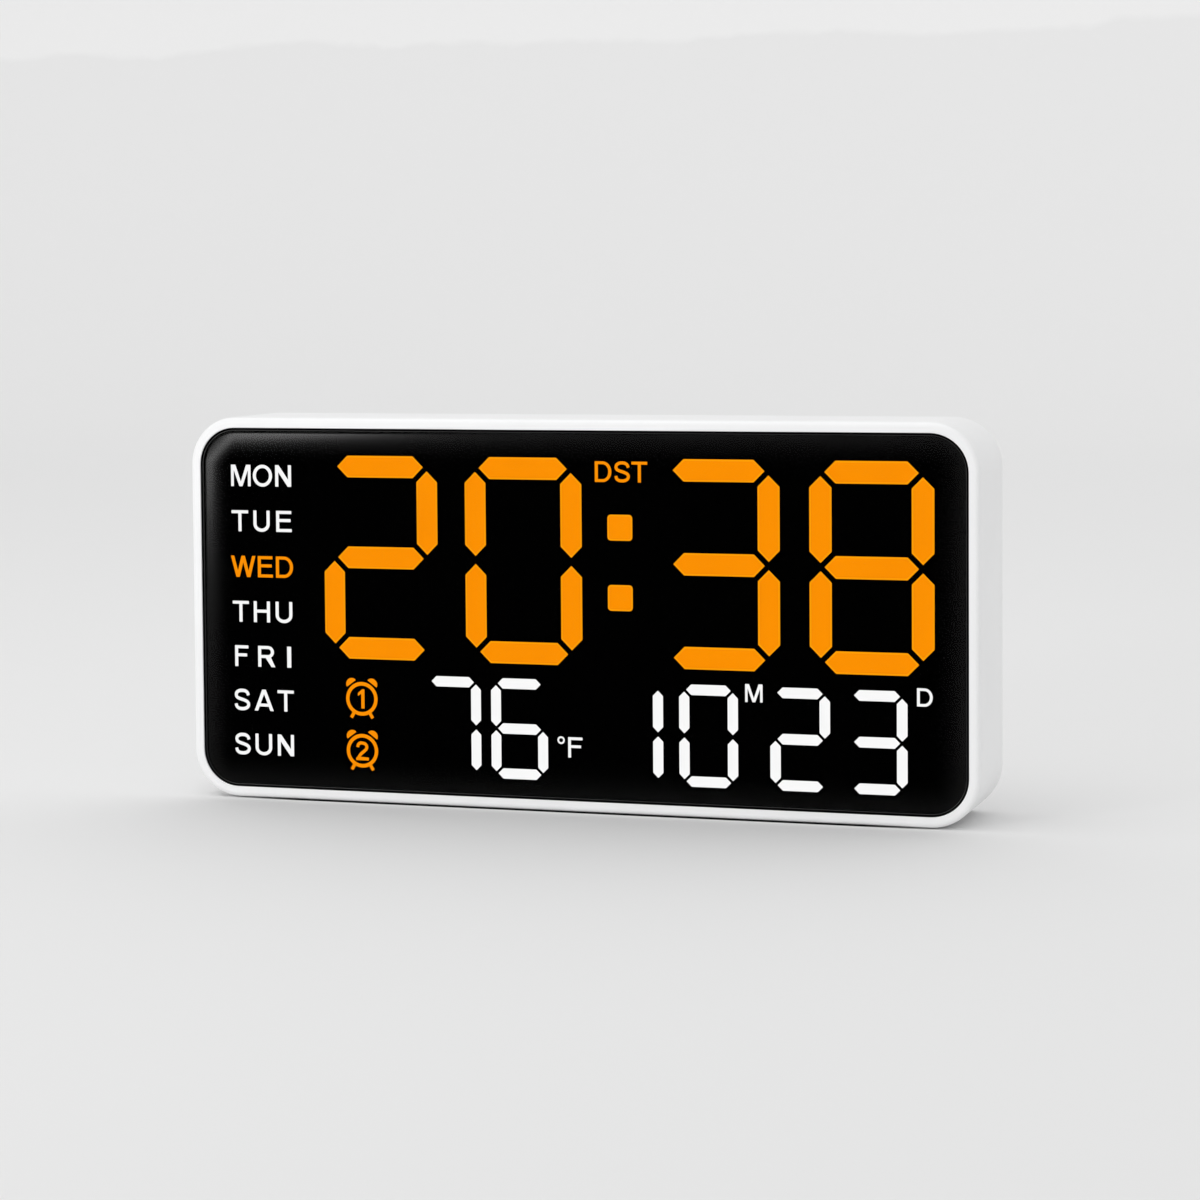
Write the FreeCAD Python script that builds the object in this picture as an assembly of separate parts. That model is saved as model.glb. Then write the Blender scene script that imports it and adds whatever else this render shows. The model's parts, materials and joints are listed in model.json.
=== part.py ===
import FreeCAD, Part
import os
from math import cos, pi, radians, sin

# Large-digit LED day clock. Millimetres, +Z up, front face towards -Y, +X to the viewer's right.
# The origin is on the surface that the clock stands on, below the middle of the case.

# ---------------------------------------------------------------------------------------------
# Driving dimensions
# ---------------------------------------------------------------------------------------------

# Display layout, along X from the left edge of the lens panel
LEFT_MARGIN = 11.5
RIGHT_MARGIN = 12.1
DAY_COLUMN_WIDTH = 23.9
DAY_TO_TIME_GAP = 12.3
TIME_DIGIT_WIDTH = 44.0
TIME_DIGIT_GAP = 10.3
COLON_SPACE = 28.0
ALARM_GAP = 19.3
TEMPERATURE_GAP = 17.4
SMALL_DIGIT_WIDTH = 21.5
TEMPERATURE_DIGIT_GAP = 3.7
DATE_DIGIT_GAP = 5.7
UNIT_GAP = 2.5
MONTH_GAP = 7.3
MARK_GAP = 1.9

# Display layout, along Z from the bottom edge of the lens panel
LOWER_MARGIN = 6.6
UPPER_MARGIN = 9.7
SMALL_DIGIT_HEIGHT = 36.2
ROW_GAP = 5.1
TIME_DIGIT_HEIGHT = 73.8

# Segments: bar thickness, and how far a bar's point stops short of the corner it points to
TIME_BAR = 8.1
TIME_TIP_GAP = 1.25
SMALL_BAR = 3.9
SMALL_TIP_GAP = 0.6
COLON_SIZE = 9.4
COLON_CORNER_R = 1.4
COLON_PITCH = 24.8

# Bars that are lit for each shown character
LIT_BARS = {"0": "abcdef", "1": "bc", "2": "abged", "3": "abgcd", "6": "afgecd", "7": "abc", "8": "abcdefg"}

# Cells behind the words and signs. Days run from the top down; one day is lit in orange.
DAY_NAMES = ("MON", "TUE", "WED", "THU", "FRI", "SAT", "SUN")
LIT_DAY = "WED"
DAY_CELL_HEIGHT = 10.6
DAY_CELL_OVERLAP = 1.2
DAY_PITCH = 16.4
DAY_COLUMN_DROP = 1.0
DST_CELL_WIDTH = 21.5
DST_CELL_HEIGHT = 9.5
DST_DROP = 4.9
ALARM_CELL_WIDTH = 14.0
ALARM_CELL_HEIGHT = 16.4
ALARM_PITCH = 18.7
UNIT_CELL_WIDTH = 11.4
UNIT_CELL_HEIGHT = 9.5
UNIT_RAISE = 12.2
MARK_CELL_SIZE = 7.6
MARK_DROP = 2.2

# Case
CASE_DEPTH = 42.0
RIM_WIDTH = 3.8
CASE_CORNER_R = 17.3
FRONT_EDGE_R = 1.8
RIM_INNER_EDGE_R = 0.3
REAR_EDGE_CHAMFER = 0.3
WALL = 2.4
LEDGE_WIDTH_X = 7.0
LEDGE_WIDTH_Z = 3.5
LEDGE_THICKNESS = 2.0
WINDOW_CORNER_R = 5.0
COVER_SHELF = 1.0

# Lens stack
LENS_THICKNESS = 2.0
LENS_SETBACK = 0.1
LENS_EDGE_R = 1.1
LENS_CLEARANCE = 0.15
TAPE_THICKNESS = 0.3
TAPE_INSET = 0.6
FILM_THICKNESS = 0.2
FILM_CLEARANCE = 0.3

# Light box
FRAME_INSET_X = 8.0
FRAME_INSET_Z = 4.6
FRAME_DEPTH = 8.5
FRAME_CORNER_R = 4.0
GUIDE_THICKNESS = 2.2
GUIDE_CLEARANCE = 0.06
STAKE_R = 1.2
STAKE_HEAD_R = 2.0
STAKE_HEAD_HEIGHT = 0.9
STAKE_INSET_X = 4.0
STAKE_INSET_Z = 2.3
STAKE_COLUMN_X = 97.0

# Boards
BOARD_THICKNESS = 1.6
BOARD_CORNER_R = 1.5
EAR_WIDTH = 9.0
EAR_OFFSET_Z = 26.0
BOARD_CLEARANCE = 0.1

# Light-emitting diodes
TIME_LED_SIZE = (3.5, 2.8, 1.9)
SMALL_LED_SIZE = (2.0, 1.25, 0.9)
LED_CUP_DEPTH = 0.4
LED_CUP_SHARE = 0.38
LED_CUP_SLOPE = 0.15

# Rear cover
COVER_THICKNESS = 2.6
COVER_SETBACK = 1.0
COVER_CLEARANCE = 0.25
CONTROL_STANDOFF = 9.0

# Screws: (shank radius, shank length, head radius, head height)
COVER_SCREW = (1.45, 11.0, 2.7, 1.6)
BOARD_SCREW = (1.1, 6.5, 2.1, 1.3)
SCREW_CLEARANCE = 0.05
SCREW_HOLE_SPARE = 1.0
SCREW_TIP_SHARE = 0.2
HEAD_ROUNDING_SHARE = 0.4
CROSS_DEPTH_SHARE = 0.55
CROSS_ARM_SHARE = 1.1
CROSS_BLADE_SHARE = 0.22
HEAD_CLEARANCE = 0.35
SIDE_BOSS_R = 3.4
SIDE_BOSS_INSET = 5.2
SIDE_BOSS_Z = 51.0
MIDDLE_BOSS_R = 2.6
MIDDLE_BOSS_INSET = 2.5
DISPLAY_BOSS_R = 3.0
CONTROL_BOSS_R = 3.0
RIB_THICKNESS = 1.6

# Rubber feet
FOOT_R = 4.5
FOOT_THICKNESS = 1.2
FOOT_PROUD = 0.4
FOOT_SPACING_X = 230.0
FOOT_SPACING_Y = 20.0
FOOT_EDGE_R = 0.25
FOOT_CLEARANCE = 0.1

# Rear push buttons
BUTTON_NAMES = ("set", "up", "down", "alarm", "dimmer")
BUTTON_WIDTH = 12.0
BUTTON_HEIGHT = 6.5
BUTTON_PITCH = 17.0
BUTTON_PROUD = 0.8
BUTTON_EDGE_R = 0.5
BUTTON_TRAVEL = 0.8
BUTTON_CLEARANCE = 0.25
BUTTON_RECESS_MARGIN = 3.5
BUTTON_RECESS_DEPTH = 0.5
BUTTON_FLANGE = 1.2
BUTTON_FLANGE_GAP = 0.2
BUTTON_STEM_R = 2.2
SWITCH_SIZE = 6.0
SWITCH_HEIGHT = 3.5
PLUNGER_R = 1.7
PLUNGER_PROUD = 1.3
PLUNGER_CLEARANCE = 0.1
PLUNGER_DEPTH = 0.9

# Battery: a 20 x 3.2 mm coin cell in a square holder, under a bayonet door
CELL_R = 10.0
CELL_THICKNESS = 3.2
CELL_EDGE_R = 0.4
HOLDER_WALL = 2.0
HOLDER_FLOOR = 1.2
HOLDER_LIP = 0.6
CELL_CLEARANCE = 0.25
FINGER_NOTCH_DEPTH = 4.4
CONTACT_THICKNESS = 0.4
CONTACT_WIDTH = 5.0
CONTACT_LENGTH = 14.0
CONTACT_CLEARANCE = 0.1
DOOR_R = 13.0
DOOR_HUB_R = 11.0
DOOR_HUB_WALL = 1.6
DOOR_FLANGE = 1.2
DOOR_EDGE_R = 0.3
DOOR_CLEARANCE = 0.25
DOOR_LUG_THICKNESS = 1.2
DOOR_LUG_COUNT = 3
DOOR_LUG_ANGLE = 26.0
DOOR_LUG_REACH = 1.9
DOOR_NOTCH_SPARE_ANGLE = 5.0
DOOR_TURN = 45.0
DOOR_COIN_SLOT = (15.0, 2.2, 0.7)

# Power socket: USB-C receptacle standing on the control board
SOCKET_WIDTH = 8.94
SOCKET_HEIGHT = 3.26
SOCKET_SHEET = 0.3
SOCKET_SETBACK = 0.5
SOCKET_CAVITY_DEPTH = 6.2
SOCKET_TONGUE_WIDTH = 6.7
SOCKET_TONGUE_THICKNESS = 0.7
SOCKET_TONGUE_LENGTH = 4.5
SOCKET_CLEARANCE = 0.3
INSULATOR_CLEARANCE = 0.01
PLUG_RECESS = 1.6
PLUG_RECESS_DEPTH = 0.8

# Buzzer
BUZZER_R = 6.0
BUZZER_HEIGHT = 8.3
BUZZER_PORT_R = 1.2
BUZZER_PORT_DEPTH = 1.5
BUZZER_EDGE_R = 0.5
GRILLE_HOLE_R = 0.8
GRILLE_RING_R = 3.6
GRILLE_RING_COUNT = 8

# Control board layout along X
CONTROL_MARGIN = 8.5
CONTROL_GAP = 6.0
CONTROL_HEIGHT = 33.0
CONTROL_SCREW_INSET = 4.0

# Wall-hanging keyholes and vents in the rear cover
KEYHOLE_R = 4.25
KEYHOLE_SLOT_WIDTH = 4.4
KEYHOLE_RISE = 9.0
KEYHOLE_SPACING = 180.0
KEYHOLE_HEIGHT = 36.0
VENT_WIDTH = 2.0
VENT_LENGTH = 15.0
VENT_PITCH = 6.0
VENT_COUNT = 9
VENT_OFFSET_X = 70.0
VENT_DROP = 44.0

# Chips and small parts
DRIVER_SIZE = (17.9, 7.5, 2.3)
DRIVER_LEAD_COUNT = 14
DRIVER_COUNT = 3
DRIVER_PITCH = 62.0
DRIVER_RAISE = 30.0
CONTROLLER_SIZE = (10.0, 10.0, 1.5)
CONTROLLER_LEAD_COUNT = 11
CONTROLLER_X = -22.0
LEAD_WIDTH = 0.4
LEAD_THICKNESS = 0.2
LEAD_REACH = 1.2
LEAD_BEND_SHARE = 0.45
LEAD_ROOT = 0.3
LEAD_END_MARGIN = 0.75
PIN_ONE_R = 0.5
PIN_ONE_INSET = 1.4
PIN_ONE_DEPTH = 0.15
CHIP_STANDOFF = 0.1
RESISTOR_SIZE = (2.0, 1.25, 0.5)
DISPLAY_RESISTOR_COUNT = 16
DISPLAY_RESISTOR_PITCH = 7.0
DISPLAY_RESISTOR_DROP = 30.0
CONTROL_RESISTOR_COUNT = 8
CONTROL_RESISTOR_PITCH = 4.0
CONTROL_RESISTOR_X = -48.0
CONTROL_RESISTOR_DROP = 11.0
CRYSTAL_R = 1.5
CRYSTAL_LENGTH = 8.0
CRYSTAL_LEAD_R = 0.25
CRYSTAL_LEAD_LENGTH = 3.0
CRYSTAL_LEAD_ROOT = 0.5
CRYSTAL_LEAD_SPREAD = 0.7
CRYSTAL_X = -36.0
CAPACITOR_R = 4.0
CAPACITOR_HEADROOM = 4.1
CAPACITOR_EDGE_R = 0.6
CAPACITOR_NECK = 0.5
CAPACITOR_NECK_HEIGHT = 0.8
CAPACITOR_NECK_RAISE = 1.4
CAPACITOR_X = 58.0
REGULATOR_SIZE = (6.5, 3.5, 1.6)
REGULATOR_LEAD_COUNT = 3
REGULATOR_TAB = (3.0, 1.6, 0.8)
REGULATOR_X = 44.0
THERMISTOR_R = 1.3
THERMISTOR_DROP = 4.5
THERMISTOR_LEAD_R = 0.25
THERMISTOR_PAD_R = 0.35
THERMISTOR_LEAD_SPREAD = 1.3
THERMISTOR_LEAD_INSET = 2.0
THERMISTOR_X = -62.0

# Ribbon cable between the two boards
RIBBON_WAY_COUNT = 10
RIBBON_WAY_PITCH = 1.27
RIBBON_THICKNESS = 1.0
RIBBON_DROP = 14.0
RIBBON_FREE_SPAN = 3.6
CONNECTOR_DEPTH = 5.6
CONNECTOR_FLOOR = 2.0
CONNECTOR_WALL = 1.6
CONNECTOR_SLOT_DEPTH = 1.0
CONNECTOR_SLOT_CLEARANCE = 0.05
CONNECTOR_KEY_WIDTH = 4.0
CONNECTOR_KEY_DEPTH = 0.6
CONNECTOR_X = 6.0

# Points closer than this are one point
SAME_PLACE = 1e-4

# ---------------------------------------------------------------------------------------------
# Dependent sizes
# ---------------------------------------------------------------------------------------------

time_row_width = (LEFT_MARGIN + DAY_COLUMN_WIDTH + DAY_TO_TIME_GAP + 4 * TIME_DIGIT_WIDTH
                  + 2 * TIME_DIGIT_GAP + COLON_SPACE + RIGHT_MARGIN)
lower_row_width = (LEFT_MARGIN + DAY_COLUMN_WIDTH + ALARM_GAP + ALARM_CELL_WIDTH + TEMPERATURE_GAP
                   + 6 * SMALL_DIGIT_WIDTH + TEMPERATURE_DIGIT_GAP + UNIT_GAP + UNIT_CELL_WIDTH
                   + MONTH_GAP + 2 * DATE_DIGIT_GAP + 3 * MARK_GAP + 2 * MARK_CELL_SIZE
                   + RIGHT_MARGIN)
lens_opening_width = max(time_row_width, lower_row_width)
lens_opening_height = LOWER_MARGIN + SMALL_DIGIT_HEIGHT + ROW_GAP + TIME_DIGIT_HEIGHT + UPPER_MARGIN
lens_opening_r = CASE_CORNER_R - RIM_WIDTH

case_width = lens_opening_width + 2 * RIM_WIDTH
case_height = lens_opening_height + 2 * RIM_WIDTH
case_middle_z = FOOT_PROUD + case_height / 2
cavity_width = case_width - 2 * WALL
cavity_height = case_height - 2 * WALL
window_width = lens_opening_width - 2 * LEDGE_WIDTH_X
window_height = lens_opening_height - 2 * LEDGE_WIDTH_Z
frame_width = lens_opening_width - 2 * FRAME_INSET_X
frame_height = lens_opening_height - 2 * FRAME_INSET_Z

# Planes from front to rear
front_y = -CASE_DEPTH / 2
rear_y = CASE_DEPTH / 2
lens_front_y = front_y + LENS_SETBACK
lens_back_y = lens_front_y + LENS_THICKNESS
ledge_front_y = lens_back_y + TAPE_THICKNESS
ledge_back_y = ledge_front_y + LEDGE_THICKNESS
frame_front_y = lens_back_y + FILM_THICKNESS
frame_back_y = frame_front_y + FRAME_DEPTH
guide_back_y = frame_front_y + GUIDE_THICKNESS
display_back_y = frame_back_y + BOARD_THICKNESS
cover_outer_y = rear_y - COVER_SETBACK
cover_inner_y = cover_outer_y - COVER_THICKNESS
control_rear_y = cover_inner_y - CONTROL_STANDOFF
control_front_y = control_rear_y - BOARD_THICKNESS
board_gap = control_front_y - display_back_y

# Boss places, from the middle of the case
side_boss_x = cavity_width / 2 - SIDE_BOSS_INSET
middle_boss_z = cavity_height / 2 - MIDDLE_BOSS_INSET
cover_boss_places = [(side * side_boss_x, level * SIDE_BOSS_Z)
                     for side in (-1, 1) for level in (-1, 0, 1)]
middle_boss_places = [(0.0, side * middle_boss_z) for side in (-1, 1)]
display_boss_places = [(side * side_boss_x, level * EAR_OFFSET_Z)
                       for side in (-1, 1) for level in (-1, 1)]

# ---------------------------------------------------------------------------------------------
# Shape helpers. Plates stand in the XZ plane; x and z are measured from the middle of the case.
# ---------------------------------------------------------------------------------------------


def vector(x, y, z):
    return FreeCAD.Vector(x, y, case_middle_z + z)


def box(x_range, y_range, z_range):
    size = [high - low for low, high in (x_range, y_range, z_range)]
    return Part.makeBox(size[0], size[1], size[2], vector(x_range[0], y_range[0], z_range[0]))


def centred_box(x, z, width, height, y_from, y_to):
    low, high = sorted((y_from, y_to))
    return box((x - width / 2, x + width / 2), (low, high), (z - height / 2, z + height / 2))


def rod(x, z, radius, y_from, y_to):
    """A round bar along Y."""
    low, high = sorted((y_from, y_to))
    return Part.makeCylinder(radius, high - low, vector(x, low, z), FreeCAD.Vector(0, 1, 0))


def prism(points, y_from, y_to):
    """A polygon of (x, z) points, pulled along Y."""
    low, high = sorted((y_from, y_to))
    corners = [vector(x, low, z) for x, z in points]
    outline = Part.makePolygon(corners + corners[:1])
    return Part.Face(outline).extrude(FreeCAD.Vector(0, high - low, 0))


def plate(x, z, width, height, corner_r, y_from, y_to):
    """A rectangle with round corners, pulled along Y."""
    low, high = sorted((y_from, y_to))
    half_w, half_h = width / 2, height / 2
    diagonal = corner_r * (1 - cos(pi / 4))
    edges = []
    for sx, sz, turned in ((1, 1, False), (-1, 1, True), (-1, -1, False), (1, -1, True)):
        side_point = vector(x + sx * half_w, low, z + sz * (half_h - corner_r))
        level_point = vector(x + sx * (half_w - corner_r), low, z + sz * half_h)
        middle = vector(x + sx * (half_w - diagonal), low, z + sz * (half_h - diagonal))
        ends = (level_point, side_point) if turned else (side_point, level_point)
        if edges and (edges[-1].Vertexes[-1].Point - ends[0]).Length > SAME_PLACE:
            edges.append(Part.makeLine(edges[-1].Vertexes[-1].Point, ends[0]))
        edges.append(Part.Arc(ends[0], middle, ends[1]).toShape())
    first, last = edges[0].Vertexes[0].Point, edges[-1].Vertexes[-1].Point
    if (first - last).Length > SAME_PLACE:
        edges.append(Part.makeLine(last, first))
    return Part.Face(Part.Wire(edges)).extrude(FreeCAD.Vector(0, high - low, 0))


def edges_in_plane(shape, y):
    """The edges of a shape that lie in the plane at this Y."""
    return [edge for edge in shape.Edges
            if abs(edge.BoundBox.YMin - y) < SAME_PLACE and abs(edge.BoundBox.YMax - y) < SAME_PLACE]


def fuse(shapes):
    joined = shapes[0].multiFuse(shapes[1:]) if len(shapes) > 1 else shapes[0]
    return joined.removeSplitter()


def export(name, shapes):
    """Writes one node: a single solid, or a group of separate solids."""
    solids = [solid for shape in shapes for solid in shape.Solids]
    shape = solids[0] if len(solids) == 1 else Part.makeCompound(solids)
    shape.exportStep("parts/%s.step" % name)
    print("%-26s %3d solids  %10.1f mm3" % (name, len(solids), sum(solid.Volume for solid in solids)))


# ---------------------------------------------------------------------------------------------
# Display layout: every bar and cell, from the middle of the case
# ---------------------------------------------------------------------------------------------

def digit_bars(x, z, width, height, bar, tip_gap):
    """The seven bars of a digit: name -> (x, z, length, is level)."""
    column = width / 2 - bar / 2
    row = height / 2 - bar / 2
    level_length = 2 * (column - tip_gap)
    upright_length = row - 2 * tip_gap
    return {
        "a": (x, z + row, level_length, True),
        "g": (x, z, level_length, True),
        "d": (x, z - row, level_length, True),
        "b": (x + column, z + row / 2, upright_length, False),
        "c": (x + column, z - row / 2, upright_length, False),
        "f": (x - column, z + row / 2, upright_length, False),
        "e": (x - column, z - row / 2, upright_length, False),
    }


def bar_points(x, z, length, is_level, thickness, grow):
    """A bar with a 45 degree point at each end, grown all round by a clearance."""
    half = thickness / 2 + grow
    tip = length / 2 + grow * 2 ** 0.5
    shoulder = tip - half
    along = [(-tip, 0), (-shoulder, half), (shoulder, half), (tip, 0), (shoulder, -half), (-shoulder, -half)]
    return [(x + u, z + v) if is_level else (x + v, z + u) for u, v in along]


lens_left = -lens_opening_width / 2
lens_bottom = -lens_opening_height / 2
day_column_right = lens_left + LEFT_MARGIN + DAY_COLUMN_WIDTH
lower_row_z = lens_bottom + LOWER_MARGIN + SMALL_DIGIT_HEIGHT / 2
lower_row_top = lower_row_z + SMALL_DIGIT_HEIGHT / 2
time_row_z = lower_row_top + ROW_GAP + TIME_DIGIT_HEIGHT / 2
time_row_top = time_row_z + TIME_DIGIT_HEIGHT / 2

hour_tens_x = day_column_right + DAY_TO_TIME_GAP + TIME_DIGIT_WIDTH / 2
hour_units_x = hour_tens_x + TIME_DIGIT_WIDTH + TIME_DIGIT_GAP
minute_tens_x = hour_units_x + TIME_DIGIT_WIDTH + COLON_SPACE
minute_units_x = minute_tens_x + TIME_DIGIT_WIDTH + TIME_DIGIT_GAP
colon_x = (hour_units_x + minute_tens_x) / 2

alarm_x = day_column_right + ALARM_GAP + ALARM_CELL_WIDTH / 2
temperature_tens_x = alarm_x + ALARM_CELL_WIDTH / 2 + TEMPERATURE_GAP + SMALL_DIGIT_WIDTH / 2
temperature_units_x = temperature_tens_x + SMALL_DIGIT_WIDTH + TEMPERATURE_DIGIT_GAP
unit_x = temperature_units_x + SMALL_DIGIT_WIDTH / 2 + UNIT_GAP + UNIT_CELL_WIDTH / 2
month_tens_x = unit_x + UNIT_CELL_WIDTH / 2 + MONTH_GAP + SMALL_DIGIT_WIDTH / 2
month_units_x = month_tens_x + SMALL_DIGIT_WIDTH + DATE_DIGIT_GAP
month_mark_x = month_units_x + SMALL_DIGIT_WIDTH / 2 + MARK_GAP + MARK_CELL_SIZE / 2
date_tens_x = month_mark_x + MARK_CELL_SIZE / 2 + MARK_GAP + SMALL_DIGIT_WIDTH / 2
date_units_x = date_tens_x + SMALL_DIGIT_WIDTH + DATE_DIGIT_GAP
date_mark_x = date_units_x + SMALL_DIGIT_WIDTH / 2 + MARK_GAP + MARK_CELL_SIZE / 2

# (x, shown character, bars that the place has)
time_digits = [(hour_tens_x, "2", "abcdefg"), (hour_units_x, "0", "abcdefg"),
               (minute_tens_x, "3", "abcdefg"), (minute_units_x, "8", "abcdefg")]
small_digits = [(temperature_tens_x, "7", "abcdefg"), (temperature_units_x, "6", "abcdefg"),
                (month_tens_x, "1", "bc"), (month_units_x, "0", "abcdefg"),
                (date_tens_x, "2", "abcdefg"), (date_units_x, "3", "abcdefg")]


def sorted_bars(digits, z, width, height, bar, tip_gap):
    """All bars of a row of digits, as a lit list and an unlit list."""
    lit, unlit = [], []
    for x, shown, present in digits:
        bars = digit_bars(x, z, width, height, bar, tip_gap)
        for name in present:
            chosen = lit if name in LIT_BARS[shown] else unlit
            chosen.append(bars[name])
    return lit, unlit


time_lit, time_unlit = sorted_bars(time_digits, time_row_z, TIME_DIGIT_WIDTH, TIME_DIGIT_HEIGHT,
                                   TIME_BAR, TIME_TIP_GAP)
small_lit, small_unlit = sorted_bars(small_digits, lower_row_z, SMALL_DIGIT_WIDTH, SMALL_DIGIT_HEIGHT,
                                     SMALL_BAR, SMALL_TIP_GAP)
colon_dots = [(colon_x, time_row_z + side * COLON_PITCH / 2) for side in (1, -1)]

# Cells: (x, z, width, height)
day_x = lens_left + LEFT_MARGIN + DAY_COLUMN_WIDTH / 2
day_cell_width = DAY_COLUMN_WIDTH + 2 * DAY_CELL_OVERLAP
middle_row = len(DAY_NAMES) // 2
day_cells = {name: (day_x, (middle_row - row) * DAY_PITCH - DAY_COLUMN_DROP, day_cell_width, DAY_CELL_HEIGHT)
             for row, name in enumerate(DAY_NAMES)}
dst_cell = (colon_x, time_row_top - DST_DROP, DST_CELL_WIDTH, DST_CELL_HEIGHT)
alarm_cells = [(alarm_x, lower_row_z + side * ALARM_PITCH / 2, ALARM_CELL_WIDTH, ALARM_CELL_HEIGHT)
               for side in (1, -1)]
unit_cell = (unit_x, lens_bottom + LOWER_MARGIN + UNIT_RAISE, UNIT_CELL_WIDTH, UNIT_CELL_HEIGHT)
mark_cells = [(x, lower_row_top - MARK_DROP, MARK_CELL_SIZE, MARK_CELL_SIZE)
              for x in (month_mark_x, date_mark_x)]
white_cells = [cell for name, cell in day_cells.items() if name != LIT_DAY] + [unit_cell] + mark_cells
orange_cells = [day_cells[LIT_DAY], dst_cell] + alarm_cells


def bar_solids(bars, thickness, grow, y_from, y_to):
    return [prism(bar_points(*bar, thickness, grow), y_from, y_to) for bar in bars]


def colon_solids(grow, y_from, y_to):
    size = COLON_SIZE + 2 * grow
    return [plate(x, z, size, size, COLON_CORNER_R + grow, y_from, y_to) for x, z in colon_dots]


def cell_solids(cells, grow, y_from, y_to):
    return [centred_box(x, z, width + 2 * grow, height + 2 * grow, y_from, y_to)
            for x, z, width, height in cells]


# ---------------------------------------------------------------------------------------------
# Screws
# ---------------------------------------------------------------------------------------------


def screw(x, z, seat_y, direction, size):
    """A pan-head screw whose head sits on seat_y and whose shank runs along direction (+1 or -1 in Y)."""
    shank_r, length, head_r, head_height = size
    point_y = seat_y + direction * (length - shank_r)
    body = rod(x, z, shank_r, seat_y, point_y)
    tip = Part.makeCone(shank_r, shank_r * SCREW_TIP_SHARE, shank_r, vector(x, point_y, z),
                        FreeCAD.Vector(0, direction, 0))
    outer_y = seat_y - direction * head_height
    head = rod(x, z, head_r, outer_y, seat_y)
    head = head.makeFillet(head_height * HEAD_ROUNDING_SHARE, edges_in_plane(head, outer_y))
    recess_y = outer_y + direction * head_height * CROSS_DEPTH_SHARE
    arm, blade = head_r * CROSS_ARM_SHARE, head_r * CROSS_BLADE_SHARE
    cross = fuse([centred_box(x, z, width, height, outer_y, recess_y)
                  for width, height in ((arm, blade), (blade, arm))])
    return fuse([head, body, tip]).cut(cross)


# ---------------------------------------------------------------------------------------------
# Case
# ---------------------------------------------------------------------------------------------

foot_places = [(sx * FOOT_SPACING_X / 2, sy * FOOT_SPACING_Y / 2) for sx in (-1, 1) for sy in (-1, 1)]


def upright_disc(x, y, radius, z_from, z_to):
    """A disc with its axis along Z, with heights above the surface the clock stands on."""
    return Part.makeCylinder(radius, z_to - z_from, FreeCAD.Vector(x, y, z_from))


def front_housing():
    outer = plate(0, 0, case_width, case_height, CASE_CORNER_R, front_y, rear_y)
    outer = outer.makeFillet(FRONT_EDGE_R, edges_in_plane(outer, front_y))
    outer = outer.makeChamfer(REAR_EDGE_CHAMFER, edges_in_plane(outer, rear_y))
    cavity = plate(0, 0, cavity_width, cavity_height, CASE_CORNER_R - WALL, ledge_back_y, rear_y)
    shelf = plate(0, 0, cavity_width + 2 * COVER_SHELF, cavity_height + 2 * COVER_SHELF,
                  CASE_CORNER_R - WALL + COVER_SHELF, cover_inner_y, rear_y)
    recess = plate(0, 0, lens_opening_width, lens_opening_height, lens_opening_r, front_y, ledge_front_y)
    window = plate(0, 0, window_width, window_height, WINDOW_CORNER_R, front_y, ledge_back_y)
    shell = outer.cut(fuse([cavity, shelf, recess, window]))
    rim_box = recess.BoundBox
    rim_box.enlarge(RIM_WIDTH / 10)
    inner_rim = [edge for edge in edges_in_plane(shell, front_y) if rim_box.isInside(edge.BoundBox)]
    shell = shell.makeFillet(RIM_INNER_EDGE_R, inner_rim)

    additions = [rod(x, z, SIDE_BOSS_R, ledge_back_y, cover_inner_y) for x, z in cover_boss_places]
    additions += [rod(x, z, MIDDLE_BOSS_R, ledge_back_y, cover_inner_y) for x, z in middle_boss_places]
    additions += [rod(x, z, DISPLAY_BOSS_R, ledge_back_y, frame_back_y) for x, z in display_boss_places]
    additions += [centred_box(side * cavity_width / 2, level * SIDE_BOSS_Z, 2 * SIDE_BOSS_INSET,
                              RIB_THICKNESS, ledge_back_y, cover_inner_y)
                  for side in (-1, 1) for level in (-1, 0, 1)]
    inside = plate(0, 0, cavity_width + WALL, cavity_height + WALL, CASE_CORNER_R - WALL / 2,
                   ledge_back_y, cover_inner_y)
    shell = fuse([shell] + [piece.common(inside) for piece in additions])

    cover_hole_r = COVER_SCREW[0] + SCREW_CLEARANCE
    cover_hole_y = cover_inner_y - COVER_SCREW[1] - SCREW_HOLE_SPARE
    board_hole_r = BOARD_SCREW[0] + SCREW_CLEARANCE
    holes = [rod(x, z, cover_hole_r, cover_hole_y, cover_inner_y)
             for x, z in cover_boss_places + middle_boss_places]
    holes += [rod(x, z, board_hole_r, frame_back_y - BOARD_SCREW[1], frame_back_y)
              for x, z in display_boss_places]
    holes += [upright_disc(x, y, FOOT_R + FOOT_CLEARANCE, FOOT_PROUD, FOOT_THICKNESS)
              for x, y in foot_places]
    return shell.cut(Part.makeCompound(holes))


def rubber_feet():
    feet = []
    for x, y in foot_places:
        foot = upright_disc(x, y, FOOT_R, 0, FOOT_THICKNESS)
        lower_edge = [edge for edge in foot.Edges if edge.BoundBox.ZMax < SAME_PLACE]
        feet.append(foot.makeFillet(FOOT_EDGE_R, lower_edge))
    return feet


def lens_panel():
    panel = plate(0, 0, lens_opening_width - 2 * LENS_CLEARANCE, lens_opening_height - 2 * LENS_CLEARANCE,
                  lens_opening_r - LENS_CLEARANCE, lens_front_y, lens_back_y)
    return panel.makeFillet(LENS_EDGE_R, edges_in_plane(panel, lens_front_y))


def lens_tape():
    outer = plate(0, 0, lens_opening_width - 2 * TAPE_INSET, lens_opening_height - 2 * TAPE_INSET,
                  lens_opening_r - TAPE_INSET, lens_back_y, ledge_front_y)
    window = plate(0, 0, window_width, window_height, WINDOW_CORNER_R, lens_back_y, ledge_front_y)
    return outer.cut(window)


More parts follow.
